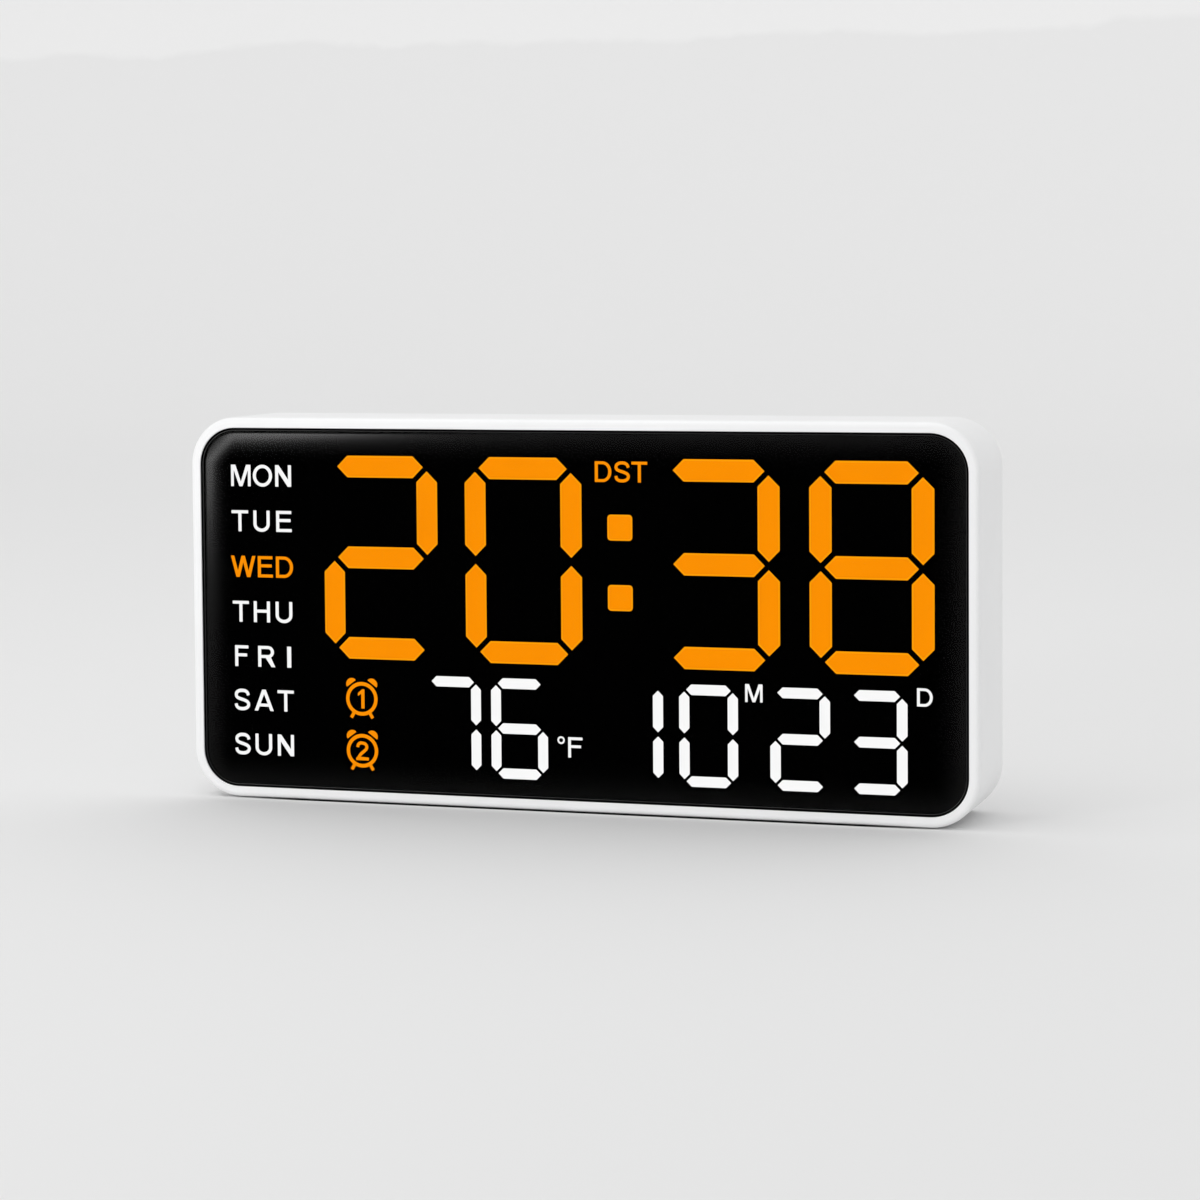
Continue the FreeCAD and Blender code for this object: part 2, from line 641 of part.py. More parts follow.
def mask_film():
    film = plate(0, 0, window_width - 2 * FILM_CLEARANCE, window_height - 2 * FILM_CLEARANCE,
                 WINDOW_CORNER_R - FILM_CLEARANCE, lens_back_y, frame_front_y)
    windows = bar_solids(time_lit + time_unlit, TIME_BAR, 0, lens_back_y, frame_front_y)
    windows += bar_solids(small_lit + small_unlit, SMALL_BAR, 0, lens_back_y, frame_front_y)
    windows += colon_solids(0, lens_back_y, frame_front_y)
    return film.cut(Part.makeCompound(windows))


# ---------------------------------------------------------------------------------------------
# Light box
# ---------------------------------------------------------------------------------------------

stake_x = frame_width / 2 - STAKE_INSET_X
stake_z = frame_height / 2 - STAKE_INSET_Z
stake_places = [(x, side * stake_z) for x in (-stake_x, -STAKE_COLUMN_X, STAKE_COLUMN_X, stake_x)
                for side in (-1, 1)]


def segment_frame():
    body = plate(0, 0, frame_width, frame_height, FRAME_CORNER_R, frame_front_y, frame_back_y)
    grow = GUIDE_CLEARANCE
    wells = bar_solids(time_lit + time_unlit, TIME_BAR, grow, frame_front_y, frame_back_y)
    wells += bar_solids(small_lit + small_unlit, SMALL_BAR, grow, frame_front_y, frame_back_y)
    wells += colon_solids(grow, frame_front_y, frame_back_y)
    wells += cell_solids(white_cells + orange_cells, grow, frame_front_y, frame_back_y)
    stakes = []
    for x, z in stake_places:
        stakes.append(rod(x, z, STAKE_R, frame_back_y, display_back_y + STAKE_HEAD_HEIGHT / 2))
        stakes.append(rod(x, z, STAKE_HEAD_R, display_back_y, display_back_y + STAKE_HEAD_HEIGHT))
    return fuse([body.cut(Part.makeCompound(wells))] + stakes)


def light_guides():
    """Translucent plugs that fill the front of the wells, by the node that holds them."""
    front, back = frame_front_y, guide_back_y
    return {
        "time_segments_lit": bar_solids(time_lit, TIME_BAR, 0, front, back),
        "time_segments_unlit": bar_solids(time_unlit, TIME_BAR, 0, front, back),
        "colon_dots": colon_solids(0, front, back),
        "small_segments_lit": bar_solids(small_lit, SMALL_BAR, 0, front, back),
        "small_segments_unlit": bar_solids(small_unlit, SMALL_BAR, 0, front, back),
        "white_sign_diffusers": cell_solids(white_cells, 0, front, back),
        "orange_sign_diffusers": cell_solids(orange_cells, 0, front, back),
    }


def led(x, z, size, is_level):
    """A diode on the front of the display board, with a round cup around its chip."""
    width, height = (size[0], size[1]) if is_level else (size[1], size[0])
    top_y = frame_back_y - size[2]
    body = centred_box(x, z, width, height, top_y, frame_back_y)
    cup_r = min(size[0], size[1]) * LED_CUP_SHARE
    cup = Part.makeCone(cup_r, cup_r - LED_CUP_SLOPE, LED_CUP_DEPTH, vector(x, top_y, z),
                        FreeCAD.Vector(0, 1, 0))
    return body.cut(cup)


def time_leds():
    leds = []
    for x, z, length, is_level in time_lit + time_unlit:
        for shift in (-length / 4, length / 4):
            place = (x + shift, z) if is_level else (x, z + shift)
            leds.append(led(place[0], place[1], TIME_LED_SIZE, is_level))
    return leds + [led(x, z, TIME_LED_SIZE, True) for x, z in colon_dots]


def small_leds():
    leds = [led(x, z, SMALL_LED_SIZE, is_level) for x, z, _, is_level in small_lit + small_unlit]
    for x, z, width, _ in white_cells + orange_cells:
        for shift in (-width / 4, width / 4):
            leds.append(led(x + shift, z, SMALL_LED_SIZE, True))
    return leds


def display_board():
    board = plate(0, 0, frame_width, frame_height, BOARD_CORNER_R, frame_back_y, display_back_y)
    ear_reach = side_boss_x + DISPLAY_BOSS_R
    ears = [plate(0, level * EAR_OFFSET_Z, 2 * ear_reach, EAR_WIDTH, BOARD_CORNER_R,
                  frame_back_y, display_back_y) for level in (-1, 1)]
    holes = [rod(x, z, BOARD_SCREW[0] + SCREW_CLEARANCE, frame_back_y, display_back_y)
             for x, z in display_boss_places]
    holes += [rod(x, z, STAKE_R + BOARD_CLEARANCE, frame_back_y, display_back_y) for x, z in stake_places]
    return fuse([board] + ears).cut(Part.makeCompound(holes))


# ---------------------------------------------------------------------------------------------
# Small electronic parts. side is +1 for parts on a board's rear face and -1 for its front face.
# ---------------------------------------------------------------------------------------------


def gull_lead(x, z, outward, face_y, side, shoulder):
    """One bent lead: its foot lies on the board and its shoulder enters the package."""
    ox, oz = outward
    half = LEAD_WIDTH / 2
    bend = LEAD_REACH * LEAD_BEND_SHARE
    knee = bend + LEAD_THICKNESS
    top = shoulder + LEAD_THICKNESS
    profile = [(-LEAD_ROOT, shoulder), (bend, shoulder), (bend, 0), (LEAD_REACH, 0),
               (LEAD_REACH, LEAD_THICKNESS), (knee, LEAD_THICKNESS), (knee, top), (-LEAD_ROOT, top)]
    points = [vector(x + ox * u - oz * half, face_y + side * v, z + oz * u - ox * half)
              for u, v in profile]
    across = FreeCAD.Vector(oz * LEAD_WIDTH, 0, ox * LEAD_WIDTH)
    return Part.Face(Part.makePolygon(points + points[:1])).extrude(across)


def chip(x, z, size, leads, face_y, side, sides):
    """A moulded package with a row of leads on each named side, joined into one solid."""
    width, height, thickness = size
    top_y = face_y + side * (CHIP_STANDOFF + thickness)
    body = centred_box(x, z, width, height, face_y + side * CHIP_STANDOFF, top_y)
    pin_one = rod(x - width / 2 + PIN_ONE_INSET, z - height / 2 + PIN_ONE_INSET, PIN_ONE_R,
                  top_y - side * PIN_ONE_DEPTH, top_y)
    shoulder = CHIP_STANDOFF + (thickness - LEAD_THICKNESS) / 2
    pieces = [body.cut(pin_one)]
    for ox, oz in sides:
        span = height if ox else width
        reach = width / 2 if ox else height / 2
        pitch = (span - 2 * LEAD_END_MARGIN) / (leads - 1)
        for number in range(leads):
            shift = (number - (leads - 1) / 2) * pitch
            place = (x + ox * reach, z + shift) if ox else (x + shift, z + oz * reach)
            pieces.append(gull_lead(place[0], place[1], (ox, oz), face_y, side, shoulder))
    return fuse(pieces)


def resistor_row(count, pitch, x, z, face_y, side):
    width, height, thickness = RESISTOR_SIZE
    places = [x + (number - (count - 1) / 2) * pitch for number in range(count)]
    return [centred_box(place, z, width, height, face_y, face_y + side * thickness) for place in places]


def led_drivers():
    sides = ((0, 1), (0, -1))
    places = [(number - (DRIVER_COUNT - 1) / 2) * DRIVER_PITCH for number in range(DRIVER_COUNT)]
    return [chip(x, DRIVER_RAISE, DRIVER_SIZE, DRIVER_LEAD_COUNT, display_back_y, 1, sides) for x in places]


# ---------------------------------------------------------------------------------------------
# Control board layout: buzzer, five buttons, coin cell and power socket in one row
# ---------------------------------------------------------------------------------------------

button_row_width = (len(BUTTON_NAMES) - 1) * BUTTON_PITCH + BUTTON_WIDTH
holder_size = 2 * (CELL_R + CELL_CLEARANCE + HOLDER_WALL)
control_width = (2 * CONTROL_MARGIN + 2 * BUZZER_R + 3 * CONTROL_GAP + button_row_width
                 + max(holder_size, 2 * DOOR_R) + SOCKET_WIDTH)
buzzer_x = -control_width / 2 + CONTROL_MARGIN + BUZZER_R
first_button_x = buzzer_x + BUZZER_R + CONTROL_GAP + BUTTON_WIDTH / 2
button_places = [first_button_x + number * BUTTON_PITCH for number in range(len(BUTTON_NAMES))]
cell_x = button_places[-1] + BUTTON_WIDTH / 2 + CONTROL_GAP + max(holder_size / 2, DOOR_R)
socket_x = cell_x + max(holder_size / 2, DOOR_R) + CONTROL_GAP + SOCKET_WIDTH / 2
control_screw_x = control_width / 2 - CONTROL_SCREW_INSET
control_screw_z = CONTROL_HEIGHT / 2 - CONTROL_SCREW_INSET
control_screw_places = [(sx * control_screw_x, sz * control_screw_z) for sx in (-1, 1) for sz in (-1, 1)]


def control_board():
    board = plate(0, 0, control_width, CONTROL_HEIGHT, BOARD_CORNER_R, control_front_y, control_rear_y)
    holes = [rod(x, z, BOARD_SCREW[0] + SCREW_CLEARANCE, control_front_y, control_rear_y)
             for x, z in control_screw_places]
    return board.cut(Part.makeCompound(holes))


def stadium(x, z, width, height, y_from, y_to):
    """A bar with half-round ends, longer along X."""
    return plate(x, z, width, height, height / 2, y_from, y_to)


def button_cap(x):
    face_y = cover_outer_y + BUTTON_PROUD
    flange_y = cover_inner_y - BUTTON_FLANGE_GAP
    head = stadium(x, 0, BUTTON_WIDTH, BUTTON_HEIGHT, flange_y, face_y)
    head = head.makeFillet(BUTTON_EDGE_R, edges_in_plane(head, face_y))
    flange = stadium(x, 0, BUTTON_WIDTH + 2 * BUTTON_FLANGE, BUTTON_HEIGHT + 2 * BUTTON_FLANGE,
                     flange_y - BUTTON_FLANGE, flange_y)
    stem = rod(x, 0, BUTTON_STEM_R, plunger_top_y, flange_y - BUTTON_FLANGE)
    return fuse([head, flange, stem])


switch_top_y = control_rear_y + SWITCH_HEIGHT
plunger_top_y = switch_top_y + PLUNGER_PROUD
plunger_bottom_y = switch_top_y - PLUNGER_DEPTH


def switch_body(x):
    body = centred_box(x, 0, SWITCH_SIZE, SWITCH_SIZE, control_rear_y, switch_top_y)
    bore_bottom_y = plunger_bottom_y - BUTTON_TRAVEL - PLUNGER_CLEARANCE
    bore = rod(x, 0, PLUNGER_R + PLUNGER_CLEARANCE, bore_bottom_y, switch_top_y)
    return body.cut(bore)


def buzzer():
    top_y = control_rear_y + BUZZER_HEIGHT
    can = rod(buzzer_x, 0, BUZZER_R, control_rear_y, top_y)
    can = can.makeFillet(BUZZER_EDGE_R, edges_in_plane(can, top_y))
    return can.cut(rod(buzzer_x, 0, BUZZER_PORT_R, top_y - BUZZER_PORT_DEPTH, top_y))


socket_mouth_y = cover_outer_y - SOCKET_SETBACK


def power_socket_shell():
    outer = stadium(socket_x, 0, SOCKET_WIDTH, SOCKET_HEIGHT, control_rear_y, socket_mouth_y)
    inner = stadium(socket_x, 0, SOCKET_WIDTH - 2 * SOCKET_SHEET, SOCKET_HEIGHT - 2 * SOCKET_SHEET,
                    control_rear_y, socket_mouth_y)
    return outer.cut(inner)


def power_socket_insulator():
    floor_y = socket_mouth_y - SOCKET_CAVITY_DEPTH
    inset = SOCKET_SHEET + INSULATOR_CLEARANCE
    base = stadium(socket_x, 0, SOCKET_WIDTH - 2 * inset, SOCKET_HEIGHT - 2 * inset,
                   control_rear_y, floor_y)
    tongue = centred_box(socket_x, 0, SOCKET_TONGUE_WIDTH, SOCKET_TONGUE_THICKNESS,
                         floor_y, floor_y + SOCKET_TONGUE_LENGTH)
    return fuse([base, tongue])


# Coin cell, its holder and contacts
holder_floor_y = control_rear_y + HOLDER_FLOOR
cell_bottom_y = holder_floor_y + CONTACT_THICKNESS
cell_top_y = cell_bottom_y + CELL_THICKNESS
upright_contact_x = cell_x + CELL_R + INSULATOR_CLEARANCE


def battery_holder():
    top_y = cell_top_y + HOLDER_LIP
    body = plate(cell_x, 0, holder_size, holder_size, HOLDER_WALL, control_rear_y, top_y)
    pocket = rod(cell_x, 0, CELL_R + CELL_CLEARANCE, holder_floor_y, top_y)
    finger_notch = centred_box(cell_x, -holder_size / 2, CELL_R, holder_size / 2,
                               top_y - FINGER_NOTCH_DEPTH, top_y)
    slot_end_x = upright_contact_x + CONTACT_THICKNESS + CONTACT_CLEARANCE
    slot_half = CONTACT_WIDTH / 2 + CONTACT_CLEARANCE
    contact_slot = box((cell_x, slot_end_x), (holder_floor_y, top_y), (-slot_half, slot_half))
    return body.cut(fuse([pocket, finger_notch, contact_slot]))


def coin_cell():
    cell = rod(cell_x, 0, CELL_R, cell_bottom_y, cell_top_y)
    return cell.makeFillet(CELL_EDGE_R, edges_in_plane(cell, cell_bottom_y))


def negative_contact():
    """A flat strip on the pocket's floor, under the cell."""
    return centred_box(cell_x, 0, CONTACT_LENGTH, CONTACT_WIDTH, holder_floor_y, cell_bottom_y)


def positive_contact():
    """An upright strip in the pocket's side, which touches the cell's rim."""
    return box((upright_contact_x, upright_contact_x + CONTACT_THICKNESS), (holder_floor_y, cell_top_y),
               (-CONTACT_WIDTH / 2, CONTACT_WIDTH / 2))


# ---------------------------------------------------------------------------------------------
# Rear cover and battery door
# ---------------------------------------------------------------------------------------------


def ring_sector(radius_in, radius_out, middle_deg, width_deg, y_from, y_to):
    """A part of a flat ring about the battery door's axis."""
    low, high = sorted((y_from, y_to))
    start = radians(middle_deg - width_deg / 2)
    end = radians(middle_deg + width_deg / 2)
    middle = (start + end) / 2

    def point(radius, angle):
        return vector(cell_x + radius * cos(angle), low, radius * sin(angle))

    outer = Part.Arc(point(radius_out, start), point(radius_out, middle), point(radius_out, end))
    inner = Part.Arc(point(radius_in, end), point(radius_in, middle), point(radius_in, start))
    edges = [outer.toShape(), Part.makeLine(point(radius_out, end), point(radius_in, end)),
             inner.toShape(), Part.makeLine(point(radius_in, start), point(radius_out, start))]
    return Part.Face(Part.Wire(edges)).extrude(FreeCAD.Vector(0, high - low, 0))


door_hole_r = DOOR_HUB_R + DOOR_CLEARANCE
door_lug_r = DOOR_HUB_R + DOOR_LUG_REACH
door_seat_y = cover_outer_y - DOOR_FLANGE - DOOR_CLEARANCE
door_lug_top_y = cover_inner_y - DOOR_CLEARANCE
door_lug_bottom_y = door_lug_top_y - DOOR_LUG_THICKNESS
door_lug_angles = [number * 360 / DOOR_LUG_COUNT for number in range(DOOR_LUG_COUNT)]


def battery_door():
    flange = rod(cell_x, 0, DOOR_R, cover_outer_y - DOOR_FLANGE, cover_outer_y)
    flange = flange.makeFillet(DOOR_EDGE_R, edges_in_plane(flange, cover_outer_y))
    hub = rod(cell_x, 0, DOOR_HUB_R, door_lug_bottom_y, cover_outer_y - DOOR_FLANGE)
    hollow = rod(cell_x, 0, DOOR_HUB_R - DOOR_HUB_WALL, door_lug_bottom_y, cover_outer_y - DOOR_FLANGE)
    lugs = [ring_sector(DOOR_HUB_R - DOOR_HUB_WALL / 2, door_lug_r, middle, DOOR_LUG_ANGLE,
                        door_lug_bottom_y, door_lug_top_y) for middle in door_lug_angles]
    length, width, depth = DOOR_COIN_SLOT
    slot = stadium(cell_x, 0, length, width, cover_outer_y - depth, cover_outer_y)
    return fuse([flange, hub.cut(hollow)] + lugs).cut(slot)


def keyhole(x):
    """A hole for a screw's head, with a narrow slot above it that the shank slides up into."""
    slot_top = KEYHOLE_HEIGHT + KEYHOLE_RISE
    entry = rod(x, KEYHOLE_HEIGHT, KEYHOLE_R, cover_inner_y, cover_outer_y)
    slot = box((x - KEYHOLE_SLOT_WIDTH / 2, x + KEYHOLE_SLOT_WIDTH / 2), (cover_inner_y, cover_outer_y),
               (KEYHOLE_HEIGHT, slot_top))
    return fuse([entry, slot, rod(x, slot_top, KEYHOLE_SLOT_WIDTH / 2, cover_inner_y, cover_outer_y)])


def rear_cover():
    inset = WALL - COVER_SHELF + COVER_CLEARANCE
    cover = plate(0, 0, case_width - 2 * inset, case_height - 2 * inset, CASE_CORNER_R - inset,
                  cover_inner_y, cover_outer_y)
    bosses = [rod(x, z, CONTROL_BOSS_R, control_rear_y, cover_inner_y) for x, z in control_screw_places]
    cover = fuse([cover] + bosses)

    # Screw holes with sunk heads, and blind holes for the control board's screws
    shank_r, _, head_r, head_height = COVER_SCREW
    cuts = []
    for x, z in cover_boss_places + middle_boss_places:
        cuts.append(rod(x, z, shank_r + HEAD_CLEARANCE, cover_inner_y, cover_outer_y))
        cuts.append(rod(x, z, head_r + HEAD_CLEARANCE, cover_outer_y - head_height, cover_outer_y))
    board_hole_r = BOARD_SCREW[0] + SCREW_CLEARANCE
    for x, z in control_screw_places:
        cuts.append(rod(x, z, board_hole_r, control_rear_y, control_rear_y + BOARD_SCREW[1]))

    # Button holes in a shallow recess
    hole_width = BUTTON_WIDTH + 2 * BUTTON_CLEARANCE
    hole_height = BUTTON_HEIGHT + 2 * BUTTON_CLEARANCE
    for x in button_places:
        cuts.append(stadium(x, 0, hole_width, hole_height, cover_inner_y, cover_outer_y))
    row_x = (button_places[0] + button_places[-1]) / 2
    cuts.append(stadium(row_x, 0, button_row_width + 2 * BUTTON_RECESS_MARGIN,
                        BUTTON_HEIGHT + 2 * BUTTON_RECESS_MARGIN,
                        cover_outer_y - BUTTON_RECESS_DEPTH, cover_outer_y))

    # Battery hatch with its seat and lug notches
    cuts.append(rod(cell_x, 0, door_hole_r, cover_inner_y, cover_outer_y))
    cuts.append(rod(cell_x, 0, DOOR_R + DOOR_CLEARANCE, door_seat_y, cover_outer_y))
    for middle in door_lug_angles:
        cuts.append(ring_sector(DOOR_HUB_R - DOOR_HUB_WALL, door_lug_r + DOOR_CLEARANCE, middle - DOOR_TURN,
                                DOOR_LUG_ANGLE + DOOR_NOTCH_SPARE_ANGLE, cover_inner_y, cover_outer_y))

    # Power socket opening in a shallow recess for the plug
    cuts.append(stadium(socket_x, 0, SOCKET_WIDTH + 2 * SOCKET_CLEARANCE,
                        SOCKET_HEIGHT + 2 * SOCKET_CLEARANCE, cover_inner_y, cover_outer_y))
    cuts.append(stadium(socket_x, 0, SOCKET_WIDTH + 2 * PLUG_RECESS, SOCKET_HEIGHT + 2 * PLUG_RECESS,
                        cover_outer_y - PLUG_RECESS_DEPTH, cover_outer_y))

    # Sound grille, keyholes and vents
    cuts.append(rod(buzzer_x, 0, GRILLE_HOLE_R, cover_inner_y, cover_outer_y))
    for number in range(GRILLE_RING_COUNT):
        angle = 2 * pi * number / GRILLE_RING_COUNT
        cuts.append(rod(buzzer_x + GRILLE_RING_R * cos(angle), GRILLE_RING_R * sin(angle), GRILLE_HOLE_R,
                        cover_inner_y, cover_outer_y))
    for side in (-1, 1):
        cuts.append(keyhole(side * KEYHOLE_SPACING / 2))
        for number in range(VENT_COUNT):
            x = side * VENT_OFFSET_X + (number - (VENT_COUNT - 1) / 2) * VENT_PITCH
            cuts.append(plate(x, -VENT_DROP, VENT_WIDTH, VENT_LENGTH, VENT_WIDTH / 2,
                              cover_inner_y, cover_outer_y))
    return cover.cut(fuse(cuts))


# ---------------------------------------------------------------------------------------------
# Parts on the front face of the control board, and the ribbon cable
# ---------------------------------------------------------------------------------------------

ribbon_width = RIBBON_WAY_COUNT * RIBBON_WAY_PITCH
connector_height = (board_gap - RIBBON_FREE_SPAN) / 2
display_connector_z = RIBBON_DROP / 2
control_connector_z = -RIBBON_DROP / 2


def connector(z, board_y, side):
    mouth_y = board_y + side * connector_height
    width = ribbon_width + 2 * CONNECTOR_WALL
    body = centred_box(CONNECTOR_X, z, width, CONNECTOR_DEPTH, board_y, mouth_y)
    slot = centred_box(CONNECTOR_X, z, ribbon_width + 2 * CONNECTOR_SLOT_CLEARANCE,
                       RIBBON_THICKNESS + 2 * CONNECTOR_SLOT_CLEARANCE,
                       mouth_y - side * CONNECTOR_SLOT_DEPTH, mouth_y)
    key = centred_box(CONNECTOR_X, z + (CONNECTOR_DEPTH - CONNECTOR_KEY_DEPTH) / 2, CONNECTOR_KEY_WIDTH,
                      CONNECTOR_KEY_DEPTH, board_y + side * CONNECTOR_FLOOR, mouth_y)
    return body.cut(slot).cut(key)


def ribbon_cable():
    """A flat cable that leaves one connector, turns down, and turns into the other."""
    start_y = display_back_y + connector_height - CONNECTOR_SLOT_DEPTH
    end_y = control_front_y - connector_height + CONNECTOR_SLOT_DEPTH
    middle_y = (start_y + end_y) / 2
    bend = RIBBON_FREE_SPAN / 2
    half = RIBBON_THICKNESS / 2
    x_low = CONNECTOR_X - ribbon_width / 2

    def point(y, z):
        return FreeCAD.Vector(x_low, y, case_middle_z + z)

    high_z, low_z = display_connector_z, control_connector_z
    inner, outer = bend - half, bend + half
    d = 2 ** -0.5
    upper = (middle_y - bend, high_z - bend)
    lower = (middle_y + bend, low_z + bend)
    edges = [
        Part.makeLine(point(start_y, high_z + half), point(upper[0], high_z + half)),
        Part.Arc(point(upper[0], upper[1] + outer), point(upper[0] + outer * d, upper[1] + outer * d),
                 point(upper[0] + outer, upper[1])).toShape(),
        Part.makeLine(point(middle_y + half, upper[1]), point(middle_y + half, lower[1])),
        Part.Arc(point(lower[0] - inner, lower[1]), point(lower[0] - inner * d, lower[1] - inner * d),
                 point(lower[0], lower[1] - inner)).toShape(),
        Part.makeLine(point(lower[0], low_z + half), point(end_y, low_z + half)),
        Part.makeLine(point(end_y, low_z + half), point(end_y, low_z - half)),
        Part.makeLine(point(end_y, low_z - half), point(lower[0], low_z - half)),
        Part.Arc(point(lower[0], lower[1] - outer), point(lower[0] - outer * d, lower[1] - outer * d),
                 point(lower[0] - outer, lower[1])).toShape(),
        Part.makeLine(point(middle_y - half, lower[1]), point(middle_y - half, upper[1])),
        Part.Arc(point(upper[0] + inner, upper[1]), point(upper[0] + inner * d, upper[1] + inner * d),
                 point(upper[0], upper[1] + inner)).toShape(),
        Part.makeLine(point(upper[0], high_z - half), point(start_y, high_z - half)),
        Part.makeLine(point(start_y, high_z - half), point(start_y, high_z + half)),
    ]
    return Part.Face(Part.Wire(edges)).extrude(FreeCAD.Vector(ribbon_width, 0, 0))


def clock_crystal():
    """A can lying on the board, with two straight leads."""
    y = control_front_y - CRYSTAL_R
    up = FreeCAD.Vector(0, 0, 1)
    can = Part.makeCylinder(CRYSTAL_R, CRYSTAL_LENGTH, vector(CRYSTAL_X, y, 0), up)
    lead_length = CRYSTAL_LEAD_LENGTH + CRYSTAL_LEAD_ROOT
    leads = [Part.makeCylinder(CRYSTAL_LEAD_R, lead_length,
                               vector(CRYSTAL_X + side * CRYSTAL_LEAD_SPREAD, y, -CRYSTAL_LEAD_LENGTH), up)
             for side in (-1, 1)]
    return fuse([can] + leads)


def smoothing_capacitor():
    top_y = display_back_y + CAPACITOR_HEADROOM
    can = rod(CAPACITOR_X, 0, CAPACITOR_R, control_front_y, top_y)
    can = can.makeFillet(CAPACITOR_EDGE_R, edges_in_plane(can, top_y))
    low_y = control_front_y - CAPACITOR_NECK_RAISE
    high_y = low_y - CAPACITOR_NECK_HEIGHT
    ring = rod(CAPACITOR_X, 0, CAPACITOR_R + CAPACITOR_NECK, low_y, high_y)
    return can.cut(ring.cut(rod(CAPACITOR_X, 0, CAPACITOR_R - CAPACITOR_NECK, low_y, high_y)))


def voltage_regulator():
    body = chip(REGULATOR_X, 0, REGULATOR_SIZE, REGULATOR_LEAD_COUNT, control_front_y, -1, ((0, -1),))
    tab_width, tab_reach, tab_height = REGULATOR_TAB
    tab = centred_box(REGULATOR_X, REGULATOR_SIZE[1] / 2 + tab_reach / 4, tab_width, tab_reach,
                      control_front_y, control_front_y - tab_height)
    return fuse([body, tab])


def temperature_sensor():
    """A bead on two leads that hang below the board's edge, beside the vents."""
    y = control_rear_y + THERMISTOR_R
    bead_z = -CONTROL_HEIGHT / 2 - THERMISTOR_DROP
    bead = Part.makeSphere(THERMISTOR_R, vector(THERMISTOR_X, y, bead_z))
    leads = []
    for side in (-1, 1):
        x = THERMISTOR_X + side * THERMISTOR_LEAD_SPREAD / 2
        top_z = -CONTROL_HEIGHT / 2 + THERMISTOR_LEAD_INSET
        leads.append(Part.makeCylinder(THERMISTOR_LEAD_R, top_z - bead_z, vector(x, y, bead_z),
                                       FreeCAD.Vector(0, 0, 1)))
        leads.append(rod(x, top_z, THERMISTOR_PAD_R, control_rear_y, y + THERMISTOR_LEAD_R))
    return fuse([bead] + leads)


# ---------------------------------------------------------------------------------------------
# Build
# ---------------------------------------------------------------------------------------------


def build():
    os.makedirs("parts", exist_ok=True)
    export("front_housing", [front_housing()])
    export("rubber_feet", rubber_feet())
    export("lens_panel", [lens_panel()])
    export("lens_tape", [lens_tape()])
    export("mask_film", [mask_film()])
    export("segment_frame", [segment_frame()])
    for name, solids in light_guides().items():
        export(name, solids)

    export("display_board", [display_board()])
    export("time_leds", time_leds())
    export("small_leds", small_leds())
    export("led_drivers", led_drivers())
    export("display_resistors", resistor_row(DISPLAY_RESISTOR_COUNT, DISPLAY_RESISTOR_PITCH, 0,
                                             -DISPLAY_RESISTOR_DROP, display_back_y, 1))
    export("display_connector", [connector(display_connector_z, display_back_y, 1)])
    export("display_screws", [screw(x, z, display_back_y, -1, BOARD_SCREW)
                              for x, z in display_boss_places])
    export("ribbon_cable", [ribbon_cable()])

    export("control_board", [control_board()])
    export("control_connector", [connector(control_connector_z, control_front_y, -1)])
    export("microcontroller", [chip(CONTROLLER_X, 0, CONTROLLER_SIZE, CONTROLLER_LEAD_COUNT, control_front_y,
                                    -1, ((1, 0), (-1, 0), (0, 1), (0, -1)))])
    export("clock_crystal", [clock_crystal()])
    export("smoothing_capacitor", [smoothing_capacitor()])
    export("voltage_regulator", [voltage_regulator()])
    export("control_resistors", resistor_row(CONTROL_RESISTOR_COUNT, CONTROL_RESISTOR_PITCH,
                                             CONTROL_RESISTOR_X, -CONTROL_RESISTOR_DROP,
                                             control_front_y, -1))
    export("temperature_sensor", [temperature_sensor()])
    export("buzzer", [buzzer()])
    export("power_socket_shell", [power_socket_shell()])
    export("power_socket_insulator", [power_socket_insulator()])
    export("control_screws", [screw(x, z, control_front_y, 1, BOARD_SCREW)
                              for x, z in control_screw_places])

    export("battery_holder", [battery_holder()])
    export("coin_cell", [coin_cell()])
    export("battery_contact_negative", [negative_contact()])
    export("battery_contact_positive", [positive_contact()])
    export("battery_door", [battery_door()])

    export("switch_bodies", [switch_body(x) for x in button_places])
    for name, x in zip(BUTTON_NAMES, button_places):
        export("%s_button" % name, [button_cap(x)])
        export("%s_switch_plunger" % name, [rod(x, 0, PLUNGER_R, plunger_bottom_y, plunger_top_y)])

    export("rear_cover", [rear_cover()])
    head_seat_y = cover_outer_y - COVER_SCREW[3]
    export("cover_screws", [screw(x, z, head_seat_y, -1, COVER_SCREW)
                            for x, z in cover_boss_places + middle_boss_places])


build()
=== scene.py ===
"""A free-standing LED day clock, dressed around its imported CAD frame. Metres; +Z up; the front faces -Y."""

import json
from math import cos, hypot, pi, radians, sin

import bmesh
import bpy
import numpy as np
from mathutils import Matrix, Quaternion, Vector
from mathutils.geometry import delaunay_2d_cdt


